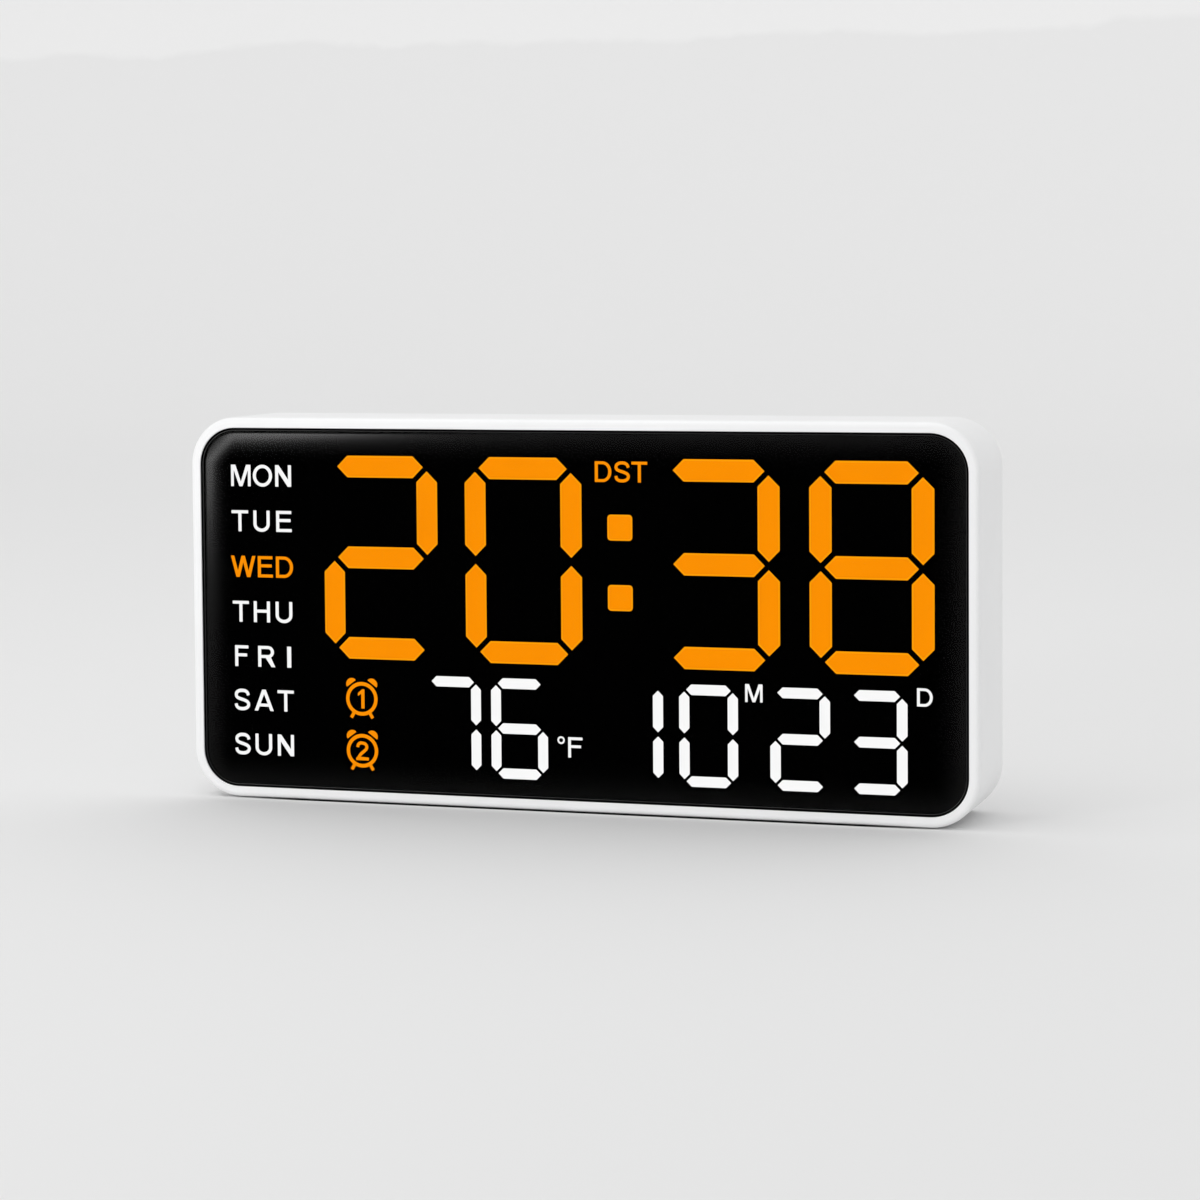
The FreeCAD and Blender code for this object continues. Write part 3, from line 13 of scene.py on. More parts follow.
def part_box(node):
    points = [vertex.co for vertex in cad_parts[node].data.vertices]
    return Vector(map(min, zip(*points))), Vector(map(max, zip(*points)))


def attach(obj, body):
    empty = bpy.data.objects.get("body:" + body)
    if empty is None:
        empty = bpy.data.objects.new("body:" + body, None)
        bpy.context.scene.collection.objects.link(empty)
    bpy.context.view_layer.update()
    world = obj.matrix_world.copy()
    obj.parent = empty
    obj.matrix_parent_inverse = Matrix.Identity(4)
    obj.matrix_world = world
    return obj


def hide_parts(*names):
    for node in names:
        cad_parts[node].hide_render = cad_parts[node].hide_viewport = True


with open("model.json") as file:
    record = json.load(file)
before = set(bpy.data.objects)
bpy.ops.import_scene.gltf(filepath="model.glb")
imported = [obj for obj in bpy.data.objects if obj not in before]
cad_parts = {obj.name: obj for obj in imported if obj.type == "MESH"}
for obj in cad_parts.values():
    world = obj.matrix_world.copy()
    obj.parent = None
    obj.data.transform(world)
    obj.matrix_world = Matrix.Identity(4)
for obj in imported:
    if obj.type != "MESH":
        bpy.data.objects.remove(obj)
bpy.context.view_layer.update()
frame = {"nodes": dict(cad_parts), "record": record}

nodes = frame["nodes"]
MM = 0.001

# ---------------------------------------------------------------------------------------------
# Places read from the frame, in millimetres
# ---------------------------------------------------------------------------------------------


def box_mm(name):
    """The low and the high corner of a node's box."""
    low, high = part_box(name)
    return low / MM, high / MM


# the gap between the lens panel and the housing's opening, and the round of the opening's corners
LENS_CLEARANCE = 0.15
OPENING_CORNER_R = 13.5

lens_low, lens_high = box_mm("lens_panel")
film_low, film_high = box_mm("mask_film")
opening_left = lens_low.x - LENS_CLEARANCE
opening_bottom = lens_low.z - LENS_CLEARANCE
opening_width = lens_high.x - lens_low.x + 2 * LENS_CLEARANCE
opening_height = lens_high.z - lens_low.z + 2 * LENS_CLEARANCE
middle_z = (lens_low.z + lens_high.z) / 2


def solids_mm(name):
    """The box of each separate solid in a node, as (x low, x high, z low, z high)."""
    mesh = bmesh.new()
    mesh.from_mesh(nodes[name].data)
    bmesh.ops.remove_doubles(mesh, verts=mesh.verts, dist=1e-6)
    left = set(mesh.verts)
    boxes = []
    while left:
        heap = [left.pop()]
        xs, zs = [], []
        while heap:
            vert = heap.pop()
            xs.append(vert.co.x / MM)
            zs.append(vert.co.z / MM)
            for edge in vert.link_edges:
                other = edge.other_vert(vert)
                if other in left:
                    left.remove(other)
                    heap.append(other)
        boxes.append((min(xs), max(xs), min(zs), max(zs)))
    mesh.free()
    return sorted(boxes)


# ---------------------------------------------------------------------------------------------
# Outlines in the XZ plane, in millimetres
# ---------------------------------------------------------------------------------------------


def arc(cx, cz, rx, rz, start, end, count):
    """Points on an ellipse, from one angle to another in degrees."""
    angles = [radians(start + (end - start) * i / count) for i in range(count + 1)]
    return [(cx + rx * cos(a), cz + rz * sin(a)) for a in angles]


def circle(cx, cz, r, count=48):
    """The points of a circle, the first one not repeated."""
    return arc(cx, cz, r, r, 0, 360, count)[:-1]


def rounded(cx, cz, width, height, r, count=12):
    """A rectangle with round corners."""
    points = []
    for sx, sz, start in ((1, 1, 0), (-1, 1, 90), (-1, -1, 180), (1, -1, 270)):
        points += arc(cx + sx * (width / 2 - r), cz + sz * (height / 2 - r), r, r, start, start + 90, count)
    return points


def bar(box, grow=0.0):
    """A display bar with a 45 degree point at each end, grown all round."""
    x0, x1, z0, z1 = box
    cx, cz = (x0 + x1) / 2, (z0 + z1) / 2
    level = x1 - x0 > z1 - z0
    length, thick = (x1 - x0, z1 - z0) if level else (z1 - z0, x1 - x0)
    half = thick / 2 + grow
    tip = length / 2 + grow * 2 ** 0.5
    side = tip - half
    along = [(-tip, 0), (-side, -half), (side, -half), (tip, 0), (side, half), (-side, half)]
    return [(cx + u, cz + v) if level else (cx - v, cz + u) for u, v in along]


def stroke(points, width):
    """A line of even width along points, with square ends, as one outline."""
    left, right = [], []
    last = len(points) - 1
    for i, (x, z) in enumerate(points):
        ax, az = points[max(i - 1, 0)]
        bx, bz = points[min(i + 1, last)]
        dx, dz = bx - ax, bz - az
        size = hypot(dx, dz)
        nx, nz = -dz / size * width / 2, dx / size * width / 2
        left.append((x + nx, z + nz))
        right.append((x - nx, z - nz))
    return left + right[::-1]


def smooth_line(points, steps=6):
    """A Catmull-Rom line through points."""
    out = []
    count = len(points)
    for i in range(count - 1):
        p0, p1 = points[max(i - 1, 0)], points[i]
        p2, p3 = points[i + 1], points[min(i + 2, count - 1)]
        for k in range(steps):
            t = k / steps
            out.append(tuple(
                0.5 * (2 * b + (c - a) * t + (2 * a - 5 * b + 4 * c - d) * t * t
                       + (3 * b - a - 3 * c + d) * t ** 3)
                for a, b, c, d in zip(p0, p1, p2, p3)))
    return out + [points[-1]]


def turned(loop, way):
    """The outline running anticlockwise (1) round something solid, or clockwise (-1) round a hole."""
    area = sum(x0 * z1 - x1 * z0 for (x0, z0), (x1, z1) in zip(loop, loop[1:] + loop[:1]))
    return loop if area * way > 0 else loop[::-1]


def solid(loop):
    """The outline of something solid."""
    return turned(loop, 1)


def hole(loop):
    """The outline of a hole."""
    return turned(loop, -1)


def crossing(a, b, c, d):
    """Where the line through a and b meets the line through c and d."""
    r = (b[0] - a[0], b[1] - a[1])
    s = (d[0] - c[0], d[1] - c[1])
    t = ((c[0] - a[0]) * s[1] - (c[1] - a[1]) * s[0]) / (r[0] * s[1] - r[1] * s[0])
    return a[0] + r[0] * t, a[1] + r[1] * t


# The middle lines of the S and the 2, as shares of the letter's box
S_LINE = [(0.98, 0.74), (0.90, 0.89), (0.72, 0.98), (0.50, 1.0), (0.28, 0.98), (0.09, 0.89), (0.03, 0.76),
          (0.10, 0.63), (0.30, 0.555), (0.50, 0.51), (0.72, 0.455), (0.92, 0.37), (0.99, 0.24), (0.91, 0.10),
          (0.71, 0.02), (0.49, 0.0), (0.26, 0.02), (0.08, 0.11), (0.01, 0.27)]
TWO_LINE = [(0.03, 0.70), (0.08, 0.88), (0.28, 1.0), (0.52, 1.0), (0.80, 0.94), (0.95, 0.76), (0.88, 0.58),
            (0.66, 0.42), (0.34, 0.22), (0.12, 0.0)]


# Every letter is bold, in a box w by h, with stems s wide and level strokes b thick. A round letter reaches
# past its box by this much, so that it looks as tall as a flat one.
OVERSHOOT = 0.08


def letter_a(w, h, s, b):
    top, foot = s * 0.58, s * 1.10
    slope = (w / 2 - top) / h
    low, high = h * 0.20, h * 0.20 + b
    apex = (w / 2 - foot) / slope
    side = [foot + z * slope for z in (low, high)]
    return [solid([(0, 0), (foot, 0), (side[0], low), (w - side[0], low), (w - foot, 0), (w, 0),
                   (w / 2 + top, h), (w / 2 - top, h)]),
            hole([(side[1], high), (w - side[1], high), (w / 2, apex)])]


def letter_d(w, h, s, b):
    rx = w * 0.52
    outer = [(0, 0), (w - rx, 0)] + arc(w - rx, h / 2, rx, h / 2, -90, 90, 20)[1:] + [(0, h)]
    inner = [(s, b)] + arc(w - rx, h / 2, rx - s, h / 2 - b, -90, 90, 20) + [(s, h - b)]
    return [solid(outer), hole(inner)]


def armed(w, h, s, b, reach, foot):
    """An E or F: a foot, a stem, an arm with its own reach and a level top."""
    middle = h * 0.545
    arm = [(s, middle - b / 2), (reach, middle - b / 2), (reach, middle + b / 2), (s, middle + b / 2)]
    return [solid(foot + arm + [(s, h - b), (w * 0.98, h - b), (w * 0.98, h), (0, h)])]


def letter_e(w, h, s, b):
    return armed(w, h, s, b, w * 0.93, [(0, 0), (w, 0), (w, b), (s, b)])


def letter_f(w, h, s, b):
    return armed(w, h, s, b, w * 0.88, [(0, 0), (s, 0)])


def letter_h(w, h, s, b):
    middle = h * 0.53
    return [solid([(0, 0), (s, 0), (s, middle - b / 2), (w - s, middle - b / 2), (w - s, 0), (w, 0), (w, h),
                   (w - s, h), (w - s, middle + b / 2), (s, middle + b / 2), (s, h), (0, h)])]


def letter_i(w, h, s, b):
    return [solid([(0, 0), (w, 0), (w, h), (0, h)])]


def letter_m(w, h, s, b):
    shoulder, half, stem = s * 1.42, s * 0.50, s * 0.90
    apex = crossing((shoulder, h), (w / 2 + half * 0.1, h * 0.20),
                    (w - shoulder, h), (w / 2 - half * 0.1, h * 0.20))
    inner = crossing((stem, 0), (stem, h), (w / 2 - half, 0), (shoulder - s * 1.12, h))
    return [solid([(0, 0), (stem, 0), (stem, inner[1]), (w / 2 - half, 0), (w / 2 + half, 0),
                   (w - stem, inner[1]), (w - stem, 0), (w, 0), (w, h), (w - shoulder, h), apex,
                   (shoulder, h), (0, h)])]


def letter_n(w, h, s, b):
    corner, tail = s * 1.12, h * 0.34
    return [solid([(0, 0), (s, 0), (s, h - tail), (w - corner, 0), (w, 0), (w, h), (w - s, h), (w - s, tail),
                   (corner, h), (0, h)])]


def letter_o(w, h, s, b):
    return [solid(arc(w / 2, h / 2, w / 2, h / 2 + OVERSHOOT, 0, 360, 48)[:-1]),
            hole(arc(w / 2, h / 2, w / 2 - s, h / 2 - b, 0, 360, 48)[:-1])]


def letter_r(w, h, s, b):
    low, wide = h * 0.425, w * 0.93
    rz = (h - low) / 2
    rx = rz * 1.05
    bowl = arc(wide - rx, low + rz, rx, rz, -62, 90, 18)
    outer = [(0, 0), (s, 0), (s, low), (wide - rx * 1.45, low), (w - s * 1.22, 0), (w, 0)] + bowl + [(0, h)]
    inner = [(s, low + b)] + arc(wide - rx, low + rz, rx - s, rz - b, -90, 90, 14) + [(s, h - b)]
    return [solid(outer), hole(inner)]


def curved(line, low, w, h, s, b):
    """An even stroke along a line given in shares of the box, from a lowest height to just past the top."""
    thick = (s + b) / 2 * 1.02
    wide, high = w - thick, h + OVERSHOOT - low - thick
    points = [(thick / 2 + x * wide, low + thick / 2 + z * high) for x, z in line]
    return solid(stroke(smooth_line(points), thick))


def letter_s(w, h, s, b):
    return [curved(S_LINE, -OVERSHOOT, w, h, s, b)]


def letter_t(w, h, s, b):
    left, right = w / 2 - s / 2, w / 2 + s / 2
    return [solid([(0, h), (0, h - b), (left, h - b), (left, 0), (right, 0), (right, h - b), (w, h - b),
                   (w, h)])]


def letter_u(w, h, s, b):
    bowl = h * 0.36
    outer = [(0, h)] + arc(w / 2, bowl, w / 2, bowl + OVERSHOOT, 180, 360, 28) + [(w, h)]
    inner = [(w - s, h)] + arc(w / 2, bowl, w / 2 - s, bowl - b, 0, -180, 28) + [(s, h)]
    return [solid(outer + inner)]


def letter_w(w, h, s, b):
    thick = s * 1.06
    low = (thick / 2 + w / 2) / 2 - thick / 2
    left, right = w / 2 - thick / 2, w / 2 + thick / 2
    notch = crossing((thick, h), (low + thick, 0), (left, h), (low, 0))
    peak = crossing((right, h), (low + thick, 0), (left, h), (w - low - thick, 0))
    return [solid([(0, h), (low, 0), (low + thick, 0), peak, (w - low - thick, 0), (w - low, 0), (w, h),
                   (w - thick, h), (w - notch[0], notch[1]), (right, h), (left, h), notch, (thick, h)])]


def digit_one(w, h, s, b):
    return [solid([(w - s, 0), (w, 0), (w, h), (w - s * 0.72, h), (0, h * 0.79), (0, h * 0.79 - b * 0.95),
                   (w - s, h * 0.76)])]


def digit_two(w, h, s, b):
    foot = solid([(0, 0), (w, 0), (w, b), (w * 0.12, b * 1.25), (0, b * 0.8)])
    return [curved(TWO_LINE, b * 0.5, w, h, s, b), foot]


LETTERS = {
    "A": letter_a, "D": letter_d, "E": letter_e, "F": letter_f, "H": letter_h, "I": letter_i, "M": letter_m,
    "N": letter_n, "O": letter_o, "R": letter_r, "S": letter_s, "T": letter_t, "U": letter_u, "W": letter_w,
    "1": digit_one, "2": digit_two,
}


def placed(loops, x, z):
    """Outlines moved to a place."""
    return [[(x + u, z + v) for u, v in loop] for loop in loops]


# how far the day names and the other signs are moved from the places measured on the lens
DAY_SHIFT, SIGN_SHIFT = -1.6, -1.3


def on_lens(loops, shift=SIGN_SHIFT):
    """From places measured from the lower left corner of the lens's opening to the frame."""
    return placed(loops, opening_left + shift, opening_bottom)


def opening_outline(inset):
    """The outline of the lens's opening, drawn in by an inset."""
    return rounded(0.0, middle_z, opening_width - 2 * inset, opening_height - 2 * inset,
                   OPENING_CORNER_R - inset, count=20)


def film_outline(inset, r):
    """The outline of the mask film, drawn in by an inset."""
    return rounded((film_low.x + film_high.x) / 2, (film_low.z + film_high.z) / 2,
                   film_high.x - film_low.x - 2 * inset, film_high.z - film_low.z - 2 * inset, r, count=8)


# ---------------------------------------------------------------------------------------------
# Meshes
# ---------------------------------------------------------------------------------------------


def link(name, mesh, materials, body="case", slot=None, replaces=()):
    """A new object that rides on a body, with the nodes that it replaces. The slot is not used."""
    mesh.update()
    obj = bpy.data.objects.new(name, mesh)
    bpy.context.scene.collection.objects.link(obj)
    for material in materials:
        mesh.materials.append(material)
    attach(obj, body)
    if replaces:
        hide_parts(*replaces)
    return obj


def fill(loops):
    """Triangles inside the solid outlines and outside the holes."""
    verts, edges = [], []
    for loop in loops:
        start = len(verts)
        verts += [Vector(p) for p in loop]
        edges += [(start + i, start + (i + 1) % len(loop)) for i in range(len(loop))]
    points, _, faces, *_ = delaunay_2d_cdt(verts, edges, [], 1, 1e-5)
    points = np.array([tuple(p) for p in points])
    faces = np.array([tuple(f) for f in faces])
    middle_x, middle_z = points[faces].mean(axis=1).T
    turns = np.zeros(len(faces), dtype=int)
    for loop in loops:
        ends = np.array(loop)
        for (x0, z0), (x1, z1) in zip(ends, np.roll(ends, -1, axis=0)):
            if z0 != z1:
                spans = (middle_z > min(z0, z1)) & (middle_z <= max(z0, z1))
                right = middle_x < x0 + (middle_z - z0) * (x1 - x0) / (z1 - z0)
                turns += (spans & right) * (1 if z1 > z0 else -1)
    return points.tolist(), faces[turns > 0].tolist()


def add_flat(mesh, loops, y_front, y_back, index=0):
    """Adds a flat closed solid with these outlines to a bmesh."""
    points, faces = fill(loops)
    uses = {}
    for face in faces:
        for i in range(3):
            key = tuple(sorted((face[i], face[(i + 1) % 3])))
            uses[key] = uses.get(key, 0) + 1
    front = [mesh.verts.new((x * MM, y_front * MM, z * MM)) for x, z in points]
    rear = [mesh.verts.new((x * MM, y_back * MM, z * MM)) for x, z in points]
    made = []
    for face in faces:
        made.append(mesh.faces.new([front[i] for i in face]))
        made.append(mesh.faces.new([rear[i] for i in reversed(face)]))
    for (i, j), count in uses.items():
        if count == 1:
            made.append(mesh.faces.new((front[i], front[j], rear[j], rear[i])))
    for face in made:
        face.material_index = index
    unused = [v for v in front + rear if not v.link_faces]
    bmesh.ops.delete(mesh, geom=unused, context="VERTS")


def finish_mesh(mesh, name):
    """Turns a bmesh into mesh data."""
    bmesh.ops.recalc_face_normals(mesh, faces=mesh.faces)
    data = bpy.data.meshes.new(name)
    mesh.to_mesh(data)
    mesh.free()
    return data


def flat_piece(name, groups, materials, **options):
    """One piece made of flat solids: groups are (outlines, front y, back y, material index)."""
    mesh = bmesh.new()
    for loops, y_front, y_back, index in groups:
        add_flat(mesh, loops, y_front, y_back, index)
    return link(name, finish_mesh(mesh, name), materials, **options)


def ring_verts(mesh, ring):
    """New vertices at (x, y, z) points in millimetres."""
    return [mesh.verts.new((x * MM, y * MM, z * MM)) for x, y, z in ring]


def band(mesh, a, b):
    """The new faces between two rings of vertices."""
    count = len(a)
    return [mesh.faces.new((a[i], a[(i + 1) % count], b[(i + 1) % count], b[i])) for i in range(count)]


def stacked(mesh, rings, index=0, caps=(True, True)):
    """Joins rings of points in millimetres, with a cap at either end or at both."""
    loops = [ring_verts(mesh, ring) for ring in rings]
    faces = []
    for a, b in zip(loops, loops[1:]):
        faces += band(mesh, a, b)
    faces += [mesh.faces.new(loop) for loop, capped in zip((loops[0], loops[-1]), caps) if capped]
    for face in faces:
        face.material_index = index


# ---------------------------------------------------------------------------------------------
# Materials
# ---------------------------------------------------------------------------------------------


class Nodes:
    """A short way to write a material's node tree."""

    def __init__(self, name):
        self.material = bpy.data.materials.new(name)
        self.material.use_nodes = True
        self.tree = self.material.node_tree
        self.shader = self.tree.nodes["Principled BSDF"]
        self.coordinates = self.add("ShaderNodeTexCoord").outputs["Object"]

    def add(self, kind, **values):
        """A new node with its settings and the values of its inputs."""
        node = self.tree.nodes.new(kind)
        for key, value in values.items():
            if hasattr(node, key):
                setattr(node, key, value)
            else:
                node.inputs[key.replace("_", " ")].default_value = value
        return node

    def join(self, output, socket):
        """Links an output to an input."""
        self.tree.links.new(output, socket)

    def set(self, **values):
        """Sets inputs of the shader."""
        for key, value in values.items():
            self.shader.inputs[key.replace("_", " ")].default_value = value
        return self

    def noise(self, scale, detail=3.0, roughness=0.55, stretch=None):
        """A noise over the object's own coordinates, which are in metres."""
        node = self.add("ShaderNodeTexNoise", Scale=scale, Detail=detail, Roughness=roughness)
        source = self.coordinates
        if stretch:
            mapping = self.add("ShaderNodeMapping")
            mapping.inputs["Scale"].default_value = stretch
            self.join(source, mapping.inputs["Vector"])
            source = mapping.outputs["Vector"]
        self.join(source, node.inputs["Vector"])
        return node.outputs["Fac"]

    def ramp(self, factor, low, high, position=(0.35, 0.65)):
        """A blend of two colours by a factor."""
        node = self.add("ShaderNodeValToRGB")
        for element, colour, place in zip(node.color_ramp.elements, (low, high), position):
            element.color = (*colour, 1.0)
            element.position = place
        self.join(factor, node.inputs["Fac"])
        return node.outputs["Color"]

    def spread(self, factor, low, high):
        """A value from low to high by a factor."""
        node = self.add("ShaderNodeMapRange", To_Min=low, To_Max=high)
        self.join(factor, node.inputs["Value"])
        return node.outputs["Result"]

    def tones(self, run, table):
        """A grey base colour by a run, from a table of (run, tone)."""
        first, last = table[0][0], table[-1][0]
        share = self.add("ShaderNodeMapRange", From_Min=first, From_Max=last)
        self.join(run, share.inputs["Value"])
        ramp = self.add("ShaderNodeValToRGB")
        self.join(share.outputs["Result"], ramp.inputs["Fac"])
        stops = ramp.color_ramp.elements
        for i, (place, tone) in enumerate(table):
            stop = stops[i] if i < 2 else stops.new(0.0)
            stop.position = (place - first) / (last - first)
            stop.color = (tone, tone, tone, 1.0)
        self.join(ramp.outputs["Color"], self.shader.inputs["Base Color"])

    def bump(self, height, strength, distance):
        """Relief from a height."""
        node = self.add("ShaderNodeBump", Strength=strength, Distance=distance)
        self.join(height, node.inputs["Height"])
        self.join(node.outputs["Normal"], self.shader.inputs["Normal"])
        return self


def shades(colour, share):
    """A colour a little darker and a little lighter."""
    return tuple(c * (1 - share) for c in colour), tuple(min(1.0, c * (1 + share)) for c in colour)


# the scales of the slow colour drift and of the uneven gloss of moulded plastic
DRIFT_SCALE, GLOSS_SCALE = 22.0, 140.0


def plastic(name, colour, roughness, grain, bump, depth=0.00002, **values):
    """Moulded plastic: slow colour drift, fine grain in height, uneven gloss."""
    m = Nodes(name)
    m.join(m.ramp(m.noise(DRIFT_SCALE), *shades(colour, 0.015)), m.shader.inputs["Base Color"])
    m.join(m.spread(m.noise(GLOSS_SCALE), roughness * 0.88, roughness * 1.12), m.shader.inputs["Roughness"])
    m.bump(m.noise(grain, detail=4.0), bump, depth)
    return m.set(**values).material


def metal(name, colour, roughness, stretch=(1, 1, 1), scale=600.0):
    """Metal with fine brush or tumble marks."""
    m = Nodes(name)
    marks = m.noise(scale, detail=5.0, stretch=stretch)
    m.join(m.ramp(marks, *shades(colour, 0.10)), m.shader.inputs["Base Color"])
    m.join(m.spread(marks, roughness * 0.7, roughness * 1.3), m.shader.inputs["Roughness"])
    m.bump(marks, 0.15, 0.00001)
    return m.set(Metallic=1.0).material


LENS_ALPHA = 0.35
SMOKE = (1 - LENS_ALPHA) ** 2  # share of light that both faces of the lens let through
SATIN = 0.65  # weight of the satin coat on the lens's crowned edge
SATIN_ROUGHNESS = 0.145
ORANGE = (1.0, 0.289, 0.0)
ORANGE_EDGE = (1.0, 0.345, 0.001)
ORANGE_LINE = (1.0, 0.262, 0.001)
AMBER_BODY = (0.02, 0.006, 0.0002)
WHITE = (1.0, 1.0, 1.0)
MILKY_BODY = (0.02, 0.02, 0.02)


def glow(name, colour, seen, body=MILKY_BODY):
    """A lit guide with a slow drift of a percent or two, as bright as it is to be seen through the lens."""
    m = Nodes(name)
    m.join(m.ramp(m.noise(55.0, detail=1.0), *shades(colour, 0.018), position=(0.3, 0.7)),
           m.shader.inputs["Emission Color"])
    m.join(m.ramp(m.noise(900.0), *shades(body, 0.03)), m.shader.inputs["Base Color"])
    # the lamps and the world alone are sampled as light sources
    m.material.cycles.emission_sampling = "NONE"
    return m.set(Emission_Strength=seen / SMOKE, Roughness=0.6, Specular_IOR_Level=0.1).material


case_white = plastic("case_white", (0.86, 0.862, 0.865), 0.36, 2600.0, 0.05)
cover_white = plastic("cover_white", (0.83, 0.832, 0.835), 0.50, 1400.0, 0.30, depth=0.00005)
button_white = plastic("button_white", (0.80, 0.802, 0.806), 0.42, 2200.0, 0.08)
film_black = plastic("film_black", (0.001, 0.001, 0.001), 0.85, 1500.0, 0.05, Specular_IOR_Level=0.0)
tape_black = plastic("tape_black", (0.006, 0.006, 0.006), 0.90, 900.0, 0.2, Specular_IOR_Level=0.1)
gasket_black = plastic("gasket_black", (0.0008, 0.0008, 0.0008), 0.85, 1800.0, 0.1, Specular_IOR_Level=0.0)
bead_black = plastic("bead_black", (0.003, 0.003, 0.003), 0.22, 1800.0, 0.03, IOR=1.5)
light_box_white = plastic("light_box_white", (0.80, 0.80, 0.79), 0.45, 1200.0, 0.1)
segment_unlit = plastic("segment_unlit", (0.0012, 0.0012, 0.0012), 0.80, 1500.0, 0.1, Specular_IOR_Level=0.0)
rubber_black = plastic("rubber_black", (0.022, 0.022, 0.023), 0.78, 1600.0, 0.4, depth=0.00006)
chip_black = plastic("chip_black", (0.018, 0.018, 0.019), 0.55, 5000.0, 0.25)
holder_black = plastic("holder_black", (0.022, 0.022, 0.024), 0.45, 1800.0, 0.1)
connector_white = plastic("connector_white", (0.78, 0.76, 0.70), 0.42, 1800.0, 0.08)
led_body = plastic("led_body", (0.82, 0.80, 0.72), 0.35, 2000.0, 0.05)
capacitor_sleeve = plastic("capacitor_sleeve", (0.012, 0.020, 0.055), 0.30, 1500.0, 0.05)
print_grey = plastic("print_grey", (0.10, 0.10, 0.105), 0.60, 3000.0, 0.1)
metal_tinned = metal("metal_tinned", (0.78, 0.78, 0.77), 0.28)
screw_steel = metal("screw_steel", (0.42, 0.42, 0.43), 0.34, scale=1500.0)
cell_steel = metal("cell_steel", (0.70, 0.70, 0.69), 0.22, stretch=(1, 1, 14), scale=220.0)
orange_glow = glow("orange_glow", ORANGE, 0.965, AMBER_BODY)
orange_edge = glow("orange_edge", ORANGE_EDGE, 0.99, AMBER_BODY)
orange_line = glow("orange_line", ORANGE_LINE, 0.88, AMBER_BODY)
white_glow = glow("white_glow", WHITE, 0.945)
white_edge = glow("white_edge", WHITE, 0.99)


def ribbon_material():
    """Grey ribbon with ten moulded ways."""
    m = Nodes("ribbon_grey")
    wave = m.add("ShaderNodeTexWave", bands_direction="X", Scale=78.74, Distortion=0.0)
    m.join(m.coordinates, wave.inputs["Vector"])
    m.join(m.ramp(wave.outputs["Fac"], (0.22, 0.225, 0.235), (0.34, 0.345, 0.36)),
           m.shader.inputs["Base Color"])
    m.bump(wave.outputs["Fac"], 0.6, 0.0003)
    return m.set(Roughness=0.5).material


def board_material():
    """Green solder mask over copper tracks."""
    m = Nodes("board_green")
    tracks = m.add("ShaderNodeTexBrick", Scale=1.0, Mortar_Size=0.00022, Mortar_Smooth=0.1,
                   Brick_Width=0.0093, Row_Height=0.0021)
    turn = m.add("ShaderNodeMapping")
    turn.inputs["Rotation"].default_value = (pi / 2, 0.0, 0.0)
    m.join(m.coordinates, turn.inputs["Vector"])
    m.join(turn.outputs["Vector"], tracks.inputs["Vector"])
    for key, colour in (("Color1", (0.010, 0.085, 0.030)), ("Color2", (0.012, 0.105, 0.036)),
                        ("Mortar", (0.028, 0.19, 0.060))):
        tracks.inputs[key].default_value = (*colour, 1.0)
    m.join(tracks.outputs["Color"], m.shader.inputs["Base Color"])
    m.bump(tracks.outputs["Fac"], 0.3, 0.00003)
    return m.set(Roughness=0.32).material


def lens_material():
    """Smoked acrylic: a dark veil over the display, without glare, with a satin coat on its crowned edge."""
    m = Nodes("smoked_lens")
    m.join(m.ramp(m.noise(30.0), (0.0003,) * 3, (0.0006,) * 3), m.shader.inputs["Base Color"])
    m.join(m.spread(m.noise(160.0), 0.10, 0.13), m.shader.inputs["Roughness"])
    edge = m.add("ShaderNodeAttribute", attribute_name="satin")
    m.join(m.spread(edge.outputs["Fac"], 0.0, SATIN), m.shader.inputs["Coat Weight"])
    return m.set(Alpha=LENS_ALPHA, IOR=1.49, Specular_IOR_Level=0.0, Coat_Roughness=SATIN_ROUGHNESS,
                 Coat_IOR=1.5).material


ribbon_grey = ribbon_material()
board_green = board_material()
smoked_lens = lens_material()

by_slot = {
    "case_white": case_white, "smoked_lens": smoked_lens, "film_black": film_black, "tape_black": tape_black,
    "light_box_white": light_box_white, "segment_orange": orange_glow, "segment_white": white_glow,
    "segment_unlit": segment_unlit, "board_green": board_green, "led_body": led_body,
    "chip_black": chip_black, "metal_tinned": metal_tinned, "screw_steel": screw_steel,
    "cell_steel": cell_steel,
    "ribbon_grey": ribbon_grey, "connector_white": connector_white, "capacitor_sleeve": capacitor_sleeve,
    "holder_black": holder_black, "button_white": button_white, "rubber_black": rubber_black,
}
for part in frame["record"]["subparts"]:
    slots = nodes[part["node"]].data.materials
    slots.clear()
    slots.append(by_slot[part["material_slot"]])
nodes["rear_cover"].data.materials[0] = cover_white

# ---------------------------------------------------------------------------------------------
# Lens, its bead, its gasket and its printed border
# ---------------------------------------------------------------------------------------------

# widths across the opening's edge, and depths under the lens's front
GASKET_WIDTH, GASKET_DEPTH = 0.68, 0.35
BEAD_WIDTH, BEAD_DEPTH, BEAD_RISE, BEAD_STEPS = 0.34, 0.62, 0.16, 10
GASKET_PLAY, GASKET_LAP = 0.02, 0.01
# the crown falls away by this much over its reach
LENS_CROWN, CROWN_REACH, CROWN_STEPS = 0.80, 12.0, 14
# the lens's edge under the foot of the crown, as (inset, depth), and the inset of that foot
EDGE_ROUND = ((0.0, 0.25), (0.06, 0.08))
CROWN_FOOT = 0.15
# how far the lens's back and the border's back and front lie before the back of the CAD panel
LENS_BACK_SINK, BORDER_BACK_SINK, BORDER_FRONT_SINK = 0.05, 0.01, 0.04
BORDER_INSET, BORDER_LAP, BORDER_CORNER_R = 0.6, 1.0, 4.0

lens_front = lens_low.y
lens_back = lens_high.y - LENS_BACK_SINK


def lens_ring(inset, y):
    """The opening's outline, drawn in by an inset, at a depth."""
    return [(x, y, z) for x, z in opening_outline(inset)]


